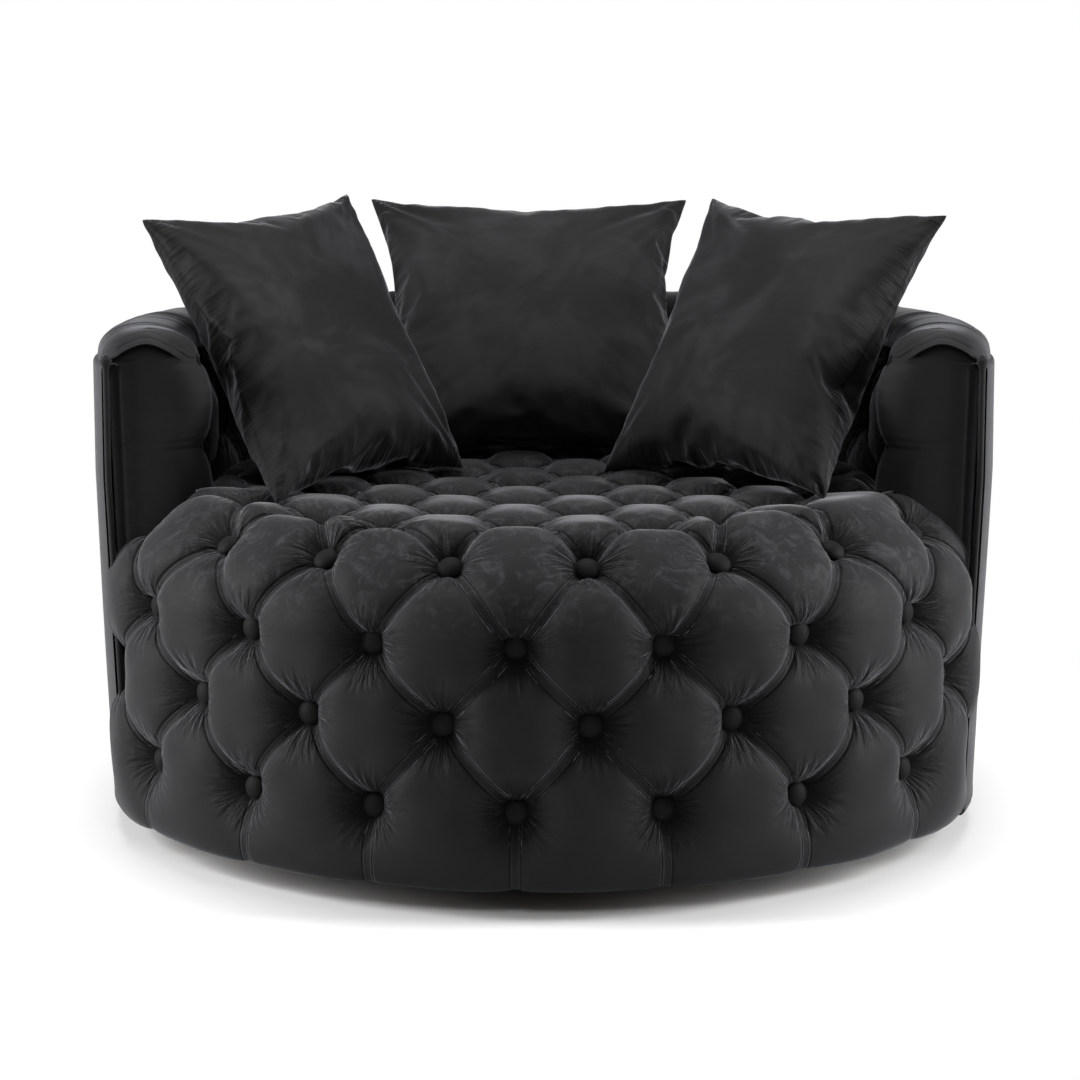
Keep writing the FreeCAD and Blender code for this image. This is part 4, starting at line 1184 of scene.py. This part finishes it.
class CHAIR_OT_roll(ChairOperator, bpy.types.Operator):
    """Roll the padded edge over the top of the barrel, with a pleat above each upper button"""

    bl_idname = "chair.roll"
    bl_label = "Top Roll"

    def execute(self, context):
        rows, columns = 52, 640
        swing = np.linspace(0, math.pi, rows)
        radius = ROLL_MIDDLE - ROLL_HALF * np.cos(swing)
        height = ROLL_FOOT + ROLL_RISE * np.sin(swing) ** ROLL_POWER
        limit = np.arccos(-ARM_BACK / radius)
        turn = math.pi + np.linspace(-1, 1, columns)[None, :] * (math.pi - limit[:, None])
        points = polar(radius[:, None], turn, height[:, None])
        outward = polar(-np.cos(swing)[:, None], turn, np.sin(swing)[:, None])
        # a pleat over each column of buttons, deep inside and shallow outside, between two low swells
        column = (turn - math.pi / 2) / COLUMN_TURN - 0.5
        bend = wander(points, 0.07, 3.0).reshape(turn.shape) * 0.05
        gap = np.abs(column + bend - np.round(column)) * COLUMN_TURN * radius[:, None]
        across = (swing / math.pi)[:, None] + 0 * turn
        strong = (1 - smooth_share(across, 0.35, 0.85)) * 0.006 + 0.0012
        pleats = np.exp(-(gap / 0.006) ** 1.3) * strong
        beside = np.exp(-((gap - 0.014) / 0.006) ** 2) * strong * 0.3
        creases = wander(np.stack((turn * 26, across * 1.5, 0 * turn), -1), 1.0, 5.0).reshape(turn.shape)
        near_arm = np.exp(-np.clip(points[..., 1] - ARM_BACK, 0, None) / 0.07)
        depth = creases * (0.0008 + 0.0016 * near_arm) - pleats + beside - 0.001
        depth *= smooth_share(np.sin(swing), 0.0, 0.35)[:, None]
        points = points + outward * depth[..., None]
        faces = [tuple(reversed(face)) for face in grid_faces(rows, columns)]
        piece = new_piece("top_roll", points, faces, material("smooth_velvet"))
        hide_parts("barrel_top_roll")
        return {"FINISHED"}


class CHAIR_OT_arm_fronts(ChairOperator, bpy.types.Operator):
    """Pad the front of each arm, drawn in by a pleat and lipped by the roll's cover above"""

    bl_idname = "chair.arm_fronts"
    bl_label = "Arm Fronts"

    # the inner edge: its radius at each height, with the pleat where it juts out
    INNER_EDGE = (
        (0.040, 0.432), (0.200, 0.419), (0.330, 0.412), (0.400, 0.4100), (0.420, 0.4108), (0.438, 0.4135),
        (0.450, 0.4170), (0.458, 0.4205), (0.464, 0.4225), (0.469, 0.4205), (0.476, 0.4165), (0.490, 0.4125),
        (0.512, 0.4100), (0.530, 0.4108), (0.545, 0.4140), (0.555, 0.4180), (0.562, 0.4240),
    )
    FOOT = 0.040
    TOP = ROLL_FOOT + 0.0392
    RIM = 0.5255
    # the roll's cover ends in an arched lip over the panel
    LIP_CREST = 0.5855
    LIP_ENDS = 0.5605
    LIP_MIDDLE = 0.458
    LIP_BEND = 12.3
    LIP_LEVEL = 0.575
    # how far the panel stands ahead of its back, how much more at its middle, and the most it may
    FULLNESS = 0.0295
    CROWN = 0.0065
    MOST = 0.044

    def outline(self, height):
        """The inner edge's place across the chair, and the outer edge's radius, at each height."""
        inner = np.interp(height, *np.array(self.INNER_EDGE).T)
        outer = self.RIM - FOOT_DRAW * np.clip(1 - (height - HEM) / (ROLL_FOOT - HEM), 0, 1)
        share = np.clip((height - ROLL_FOOT) / ROLL_RISE, 0, 1) ** (1 / ROLL_POWER)
        bow = ROLL_HALF * np.sqrt(np.clip(1 - share ** 2, 0, 1))
        above = height > ROLL_FOOT
        inner = np.where(above, ROLL_MIDDLE - bow, inner)
        outer = np.where(above, ROLL_MIDDLE + bow, outer)
        return np.sqrt(inner ** 2 - ARM_BACK ** 2), outer

    def rounded(self, gap, width):
        """A quarter round: 0 at an edge and 1 from a width inside it."""
        return np.clip(1 - (1 - np.clip(gap / width, 0, 1)) ** 2, 0, 1) ** 0.5

    def execute(self, context):
        rows, columns = 190, 74
        level = np.concatenate((
            np.linspace(self.FOOT, 0.420, 50)[:-1],
            np.linspace(0.420, 0.555, 75)[:-1],
            np.linspace(0.555, self.TOP, rows - 123),
        ))
        share = 0.5 - 0.5 * np.cos(np.linspace(0, math.pi, columns))
        share = (0.4 * share + 0.6 * np.linspace(0, 1, columns))[None, :]
        height = level[:, None] + 0 * share
        inner, rim = self.outline(height)
        across = inner + (np.sqrt(rim ** 2 - ARM_FACE ** 2) - inner) * share
        # the rows near the lip follow its arch
        arch = np.maximum(self.LIP_CREST - self.LIP_BEND * (across - self.LIP_MIDDLE) ** 2, self.LIP_ENDS)
        pull = np.exp(-((height - self.LIP_LEVEL) / 0.016) ** 2)
        height = height + (arch - self.LIP_LEVEL) * pull
        inner, rim = self.outline(height)
        outer = np.sqrt(rim ** 2 - ARM_FACE ** 2)
        across = inner + (outer - inner) * share
        from_inner = across - inner
        from_top = np.clip(self.TOP - height, 0, None)
        dome = self.rounded(from_inner, 0.040) * self.rounded(outer - across, 0.010)
        dome *= self.rounded(from_top, 0.030)
        crown = self.CROWN * np.clip(4 * share * (1 - share), 0, 1)
        depth = (self.FULLNESS + crown) * dome
        # two pleat lines run out from the inner edge
        for place, deep in ((0.4610, 0.0008), (0.4700, 0.0011)):
            inward = 1 + 2.5 * (1 - smooth_share(from_inner, 0.0, 0.045))
            slope = place + 0.0064 * (0.5 - share)
            depth -= np.exp(-((height - slope) / 0.0015) ** 2) * deep * inward
        ends = smooth_share(across, 0.418, 0.436)
        above = (height > arch - 0.0004).astype(float)
        lip = np.exp(-np.clip(height - arch, 0, None) / 0.014) * 0.0090 * above
        under = np.exp(-np.clip(arch - height, 0, None) / 0.008) * 0.0110 * (1 - above)
        depth += (lip - under) * ends
        # creases follow the lip, and the cloth above it is a little bunched
        for rise, deep in ((0.0065, 0.0012), (0.0125, 0.0009), (0.021, 0.0007)):
            depth -= np.exp(-((height - arch - rise) / 0.0011) ** 2) * deep * above
        flat = np.stack((across, 0 * across, height), -1)
        folds = wander(flat * np.array((0.6, 1, 2.2)), 0.022, 8.0).reshape(across.shape)
        depth += folds * 0.0016 * above * (1 - pull * 0.3)
        depth += wander(flat, 0.06, 9.0).reshape(across.shape) * 0.0008
        for name, side in (("arm_front_right", 1), ("arm_front_left", -1)):
            face = ARM_BACK - np.clip(depth, 0, self.MOST)
            bent = inner + (np.sqrt(rim ** 2 - face ** 2) - inner) * share
            points = np.stack((bent * side, face, height), -1)
            faces = grid_faces(rows, columns)
            if side < 0:
                faces = [tuple(reversed(face)) for face in faces]
            piece = new_piece(name.replace("front", "panel"), points, faces, material("smooth_velvet"))
            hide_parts(name)
        return {"FINISHED"}


def tube(path, radius, sides=14):
    """Points and faces of a round tube along a path, closed at its ends."""
    path = np.asarray(path, float)
    ahead = np.gradient(path, axis=0)
    ahead /= np.linalg.norm(ahead, axis=1)[:, None]
    first = np.cross(ahead, np.array((0.0, 1.0, 0.0)))
    first /= np.linalg.norm(first, axis=1)[:, None]
    second = np.cross(ahead, first)
    turn = np.linspace(0, 2 * math.pi, sides, endpoint=False)
    radius = np.broadcast_to(np.asarray(radius, float), (len(path),))
    ring = first[:, None] * np.cos(turn)[None, :, None] + second[:, None] * np.sin(turn)[None, :, None]
    points = (path[:, None] + ring * radius[:, None, None]).reshape(-1, 3)
    faces = grid_faces(len(path), sides, around=True)
    faces.append(tuple(range(sides))[::-1])
    faces.append(tuple(range(len(points) - sides, len(points))))
    return points, faces


class CHAIR_OT_welts(ChairOperator, bpy.types.Operator):
    """Run the piping down the outer edge of each arm, ending in its knot"""

    bl_idname = "chair.welts"
    bl_label = "Welts"

    def execute(self, context):
        cord, knot_height, top = 0.0036, 0.566, 0.5745
        for side, name in ((1, "right"), (-1, "left")):
            height = np.concatenate((np.linspace(0.032, 0.548, 150), np.linspace(0.549, 0.5735, 16)))
            knot = np.exp(-((height - knot_height) / 0.0055) ** 2) * 0.0030
            end = np.sqrt(np.clip((top - height) / 0.006, 0.02, 1))
            radius = (cord + knot) * end * (1 + 0.04 * np.sin(height * 900))
            across = np.sqrt((barrel_radius(height) - 0.007) ** 2 - ARM_FACE ** 2)
            path = np.stack((side * across, np.full(len(height), ARM_FACE - cord), height), 1)
            points, faces = tube(path, radius)
            piece = new_piece(f"piping_{name}", points, faces, material("smooth_velvet"))
            shape = bmesh.new()
            shape.from_mesh(piece.data)
            bmesh.ops.recalc_face_normals(shape, faces=shape.faces)
            shape.to_mesh(piece.data)
            shape.free()
            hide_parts(f"welt_{name}")
        return {"FINISHED"}


class CHAIR_OT_dust_cover(ChairOperator, bpy.types.Operator):
    """Stretch the black cloth under the seat and staple it round its edges"""

    bl_idname = "chair.dust_cover"
    bl_label = "Dust Cover"

    def execute(self, context):
        low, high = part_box("dust_cover")
        outer = (high.x - low.x) / 2 - 0.004
        inner = 0.230
        edge, depth = 0.006, 0.0010
        rows, columns = 24, 240
        share = np.linspace(0, 1, rows)
        turn = np.linspace(0, 2 * math.pi, columns, endpoint=False)
        radius = inner + (outer - inner) * share
        points = polar(radius[:, None], turn[None, :], 0.0)
        level = (low.z + high.z) / 2
        sag = np.sin(share * math.pi)[:, None] * 0.0015
        ripple = wander(points.reshape(-1, 3), 0.03, 11.0).reshape(rows, columns) * 0.0005
        points[..., 2] = level - sag + ripple * np.sin(share * math.pi)[:, None]
        faces = [tuple(reversed(face)) for face in grid_faces(rows, columns, around=True)]
        piece = new_piece("dust_cloth_sheet", points, faces, material("dust_cloth"))
        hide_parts("dust_cover")
        places = []
        for ring, count in ((outer - edge, 48), (inner + edge, 30)):
            for number in range(count):
                places.append(polar(ring, 2 * math.pi * number / count, level - depth))
        aims = [(0, 0, -1)] * len(places)
        staples = placed("dust_cover_staples", staple_tree(), places, aims, material("bolt_steel"))
        return {"FINISHED"}


def flat_pillow(steps):
    """Two square panels, 1 across, sewn edge to edge: points, faces, and where points lie on a panel."""
    places = np.linspace(0, 1, steps + 1)
    index = {}
    points, panel, faces = [], [], []

    def corner(row, column, face):
        """The number of a point; the panels share those on the rim."""
        if row in (0, steps) or column in (0, steps):
            face = 0
        key = (row, column, face)
        if key not in index:
            index[key] = len(points)
            points.append((places[column] - 0.5, places[row] - 0.5, face * 0.004))
            panel.append((places[column], places[row], face))
        return index[key]

    for face in (1, -1):
        for row in range(steps + 1):
            for column in range(steps + 1):
                corner(row, column, face)
        for row in range(steps):
            for column in range(steps):
                ring = ((0, 0), (0, 1), (1, 1), (1, 0))[::face]
                faces.append(tuple(corner(row + down, column + over, face) for down, over in ring))
    return np.array(points), np.array(panel), faces


# How the pillows' cloth is made to behave while it is filled
CLOTH = {
    "quality": 5,
    "mass": 0.25,
    "tension_stiffness": 25,
    "compression_stiffness": 25,
    "shear_stiffness": 8,
    "bending_stiffness": 0.35,
    "tension_damping": 8,
    "compression_damping": 8,
    "air_damping": 3,
    "use_pressure": True,
}


def inflated(points, panel, faces, sizes, seed):
    """Fill the flat pillow by a cloth simulation; its size across is 1."""
    start = points * PILLOW_SIDE
    start[:, 2] += wander(points, 0.16, seed) * 0.0035 * (panel[:, 2] != 0)
    mesh = bpy.data.meshes.new("pillow_trial")
    mesh.from_pydata(start.tolist(), [], faces)
    trial = bpy.data.objects.new("pillow_trial", mesh)
    bpy.context.scene.collection.objects.link(trial)
    modifier = trial.modifiers.new("Cloth", "CLOTH")
    for setting, value in CLOTH.items():
        setattr(modifier.settings, setting, value)
    modifier.settings.uniform_pressure_force = sizes.pressure
    modifier.settings.effector_weights.gravity = 0
    modifier.collision_settings.use_collision = False
    modifier.point_cache.frame_start = 1
    modifier.point_cache.frame_end = sizes.settle_frames
    scene = bpy.context.scene
    for number in range(1, sizes.settle_frames + 1):
        scene.frame_set(number)
    graph = bpy.context.evaluated_depsgraph_get()
    result = bpy.data.meshes.new_from_object(trial.evaluated_get(graph))
    moved = np.empty(len(result.vertices) * 3, np.float32)
    result.vertices.foreach_get("co", moved)
    bpy.data.objects.remove(trial)
    bpy.data.meshes.remove(result)
    scene.frame_set(1)
    return moved.reshape(-1, 3).astype(float) / PILLOW_SIDE


class CHAIR_OT_pillows(ChairOperator, bpy.types.Operator):
    """Fill the three loose pillows and stand them round the seat"""

    bl_idname = "chair.pillows"
    bl_label = "Loose Pillows"

    def execute(self, context):
        sizes = self.settings(context).pillows
        points, panel, faces = flat_pillow(sizes.panel_steps)
        for seed, (name, corners) in enumerate(PILLOWS.items()):
            shape = inflated(points, panel, faces, sizes, seed * 3.7 + 1)
            piece = self.stood(name, shape, panel, faces, np.array(corners), sizes, seed)
            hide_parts(name + "_cover", name + "_filling")
        return {"FINISHED"}

    def stood(self, name, shape, panel, faces, corners, sizes, seed):
        """Fit the filled shape's corners to the pillow's place."""
        top_left, top_right, low_right, low_left = corners
        edges = np.minimum(panel[:, :2], 1 - panel[:, :2])
        rim, sideways = edges.min(1), edges[:, 0] < edges[:, 1]
        along = np.where(sideways, panel[:, 1], panel[:, 0])
        bow = 4 * panel[:, :2] * (1 - panel[:, :2])
        shape[:, :2] *= 1 - 0.058 * bow[:, ::-1]
        # gathers run in from the seams, and the faces are a little dented
        tucks = wander(np.stack((along, rim * 0.22, panel[:, 2] * 3 + sideways), 1), 0.045, seed + 2)
        tucks *= 0.0115 * np.exp(-rim / 0.12) * smooth_share(rim, 0.0, 0.035)
        dents = wander(np.stack((panel[:, 0], panel[:, 1], panel[:, 2] * 3), 1), 0.30, seed + 8)
        shape[:, 2] += panel[:, 2] * (tucks + dents * 0.016 * bow.prod(1))
        tips = {}
        for column, row in ((0, 0), (1, 0), (1, 1), (0, 1)):
            tips[column, row] = shape[np.abs(panel[:, :2] - (column, row)).sum(1).argmin(), :2]
        # where a point lies between the four tips, across and up
        width = (tips[1, 0][0] + tips[1, 1][0] - tips[0, 0][0] - tips[0, 1][0]) / 2
        tall = (tips[0, 1][1] + tips[1, 1][1] - tips[0, 0][1] - tips[1, 0][1]) / 2
        middle = sum(tips.values()) / 4
        across = np.clip((shape[:, 0] - middle[0]) / width + 0.5, -0.02, 1.02)[:, None]
        up = np.clip((shape[:, 1] - middle[1]) / tall + 0.5, -0.02, 1.02)[:, None]
        level = (low_left * (1 - across) + low_right * across) * (1 - up)
        level = level + (top_left * (1 - across) + top_right * across) * up
        right = top_right - top_left + low_right - low_left
        upward = top_left - low_left + top_right - low_right
        normal = np.cross(right, upward)
        normal /= np.linalg.norm(normal)
        thick = shape[:, 2]
        thick = thick * sizes.crown / max(np.abs(thick).max(), 1e-6)
        thick = thick * (1 + 0.10 * (0.5 - up[:, 0]))
        points = level + normal * thick[:, None]
        piece = new_piece(name + "_velvet", points, faces, material("pillow_velvet"), body=name)
        seam = np.stack((rim * PILLOW_SIDE, along * PILLOW_SIDE, np.full(len(along), seed * 5.0)), 1)
        keep_values(piece, "seam", seam)
        modifier = piece.modifiers.new("Subdivision", "SUBSURF")
        modifier.levels = 1
        modifier.render_levels = 1
        return piece


class CHAIR_OT_stage(ChairOperator, bpy.types.Operator):
    """Set the pale floor, the soft lamps and the camera"""

    bl_idname = "chair.stage"
    bl_label = "Stage"

    def lamp(self, context, name, place, aim, size, power):
        data = bpy.data.lights.new(name, "AREA")
        data.shape = "RECTANGLE"
        data.size, data.size_y = size
        data.energy = power
        lamp = bpy.data.objects.new(name, data)
        lamp.location = place
        lamp.rotation_euler = (Vector(aim) - Vector(place)).to_track_quat("-Z", "Y").to_euler()
        context.scene.collection.objects.link(lamp)

    def floor_finish(self, colour):
        """A pale floor that fades to plain white away from the chair, as the camera sees it."""
        finish = Finish("floor", colour, 0.9)
        grain = finish.noise(finish.place(), 3.0)
        finish.feed("Roughness", 0.85 + grain * 0.1)
        white = finish.node("ShaderNodeEmission", {}, {"Color": (1, 1, 1, 1), "Strength": 1.0})
        x, y, z = finish.parts(finish.place())
        away = (x * x + (y * y)) ** 0.5
        seen = finish.node("ShaderNodeLightPath", output="Is Camera Ray")
        both = finish.node("ShaderNodeMixShader", {}, {0: away.step(0.72, 1.18) * seen, 2: white})
        finish.tree.links.new(finish.shader.outputs[0], both.socket.node.inputs[1])
        finish.tree.links.new(both.socket, finish.tree.nodes["Material Output"].inputs["Surface"])
        return finish.material

    def make_room(self, context):
        """A room that is white to the camera and gives only a little light."""
        world = bpy.data.worlds.new("soft_room")
        context.scene.world = world
        world.use_nodes = True
        tree = world.node_tree
        tree.nodes.clear()
        mix = tree.nodes.new("ShaderNodeMixShader")
        path = tree.nodes.new("ShaderNodeLightPath")
        tree.links.new(path.outputs["Is Camera Ray"], mix.inputs[0])
        for place, strength in ((1, ROOM_LIGHT), (2, 1.0)):
            background = tree.nodes.new("ShaderNodeBackground")
            background.inputs["Color"].default_value = (1, 1, 1, 1)
            background.inputs["Strength"].default_value = strength
            tree.links.new(background.outputs[0], mix.inputs[place])
        leave = tree.nodes.new("ShaderNodeOutputWorld")
        tree.links.new(mix.outputs[0], leave.inputs["Surface"])

    def execute(self, context):
        stage = self.settings(context).stage
        corners = [(x * FLOOR_SIZE, y * FLOOR_SIZE, 0) for x, y in ((-1, -1), (1, -1), (1, 1), (-1, 1))]
        floor_material = self.floor_finish(stage.floor)
        floor = new_piece("floor", corners, [(0, 1, 2, 3)], floor_material, body=None, smooth=False)
        self.make_room(context)
        for name, place, aim, size, share in LAMPS:
            self.lamp(context, name, place, aim, size, stage.lamp_power * share)
        data = bpy.data.cameras.new("camera")
        data.lens = CAMERA_LENS
        data.sensor_width = CAMERA_SENSOR
        camera = bpy.data.objects.new("camera", data)
        camera.location = CAMERA_PLACE
        camera.rotation_euler = (math.pi / 2 - CAMERA_DOWN, 0, 0)
        context.scene.collection.objects.link(camera)
        context.scene.camera = camera
        context.scene.view_settings.view_transform = "Standard"
        return {"FINISHED"}


class CHAIR_PT_panel(bpy.types.Panel):
    """The chair's pieces and sizes"""

    bl_idname = "CHAIR_PT_panel"
    bl_label = "Barrel Chair"
    bl_space_type = "VIEW_3D"
    bl_region_type = "UI"
    bl_category = "Barrel Chair"

    def draw(self, context):
        layout = self.layout
        for operator in OPERATORS:
            layout.operator(operator.bl_idname)
        settings = context.scene.barrel_chair
        for group in (settings.tufting, settings.pillows, settings.colours, settings.stage):
            box = layout.box()
            for name in group.__annotations__:
                box.prop(group, name)


OPERATORS = (
    CHAIR_OT_finishes,
    CHAIR_OT_hidden_parts,
    CHAIR_OT_foam,
    CHAIR_OT_drum,
    CHAIR_OT_seat_top,
    CHAIR_OT_back,
    CHAIR_OT_buttons,
    CHAIR_OT_outer_panel,
    CHAIR_OT_roll,
    CHAIR_OT_arm_fronts,
    CHAIR_OT_welts,
    CHAIR_OT_dust_cover,
    CHAIR_OT_pillows,
    CHAIR_OT_stage,
)
CLASSES = (TuftingSizes, PillowSizes, ChairColours, StageSizes, ChairSettings, *OPERATORS, CHAIR_PT_panel)


def register():
    for cls in CLASSES:
        bpy.utils.register_class(cls)
    bpy.types.Scene.barrel_chair = PointerProperty(type=ChairSettings)


def unregister():
    del bpy.types.Scene.barrel_chair
    for cls in reversed(CLASSES):
        bpy.utils.unregister_class(cls)


def main():
    register()
    for operator in OPERATORS:
        group, name = operator.bl_idname.split(".")
        getattr(getattr(bpy.ops, group), name)()


if __name__ == "__main__":
    main()
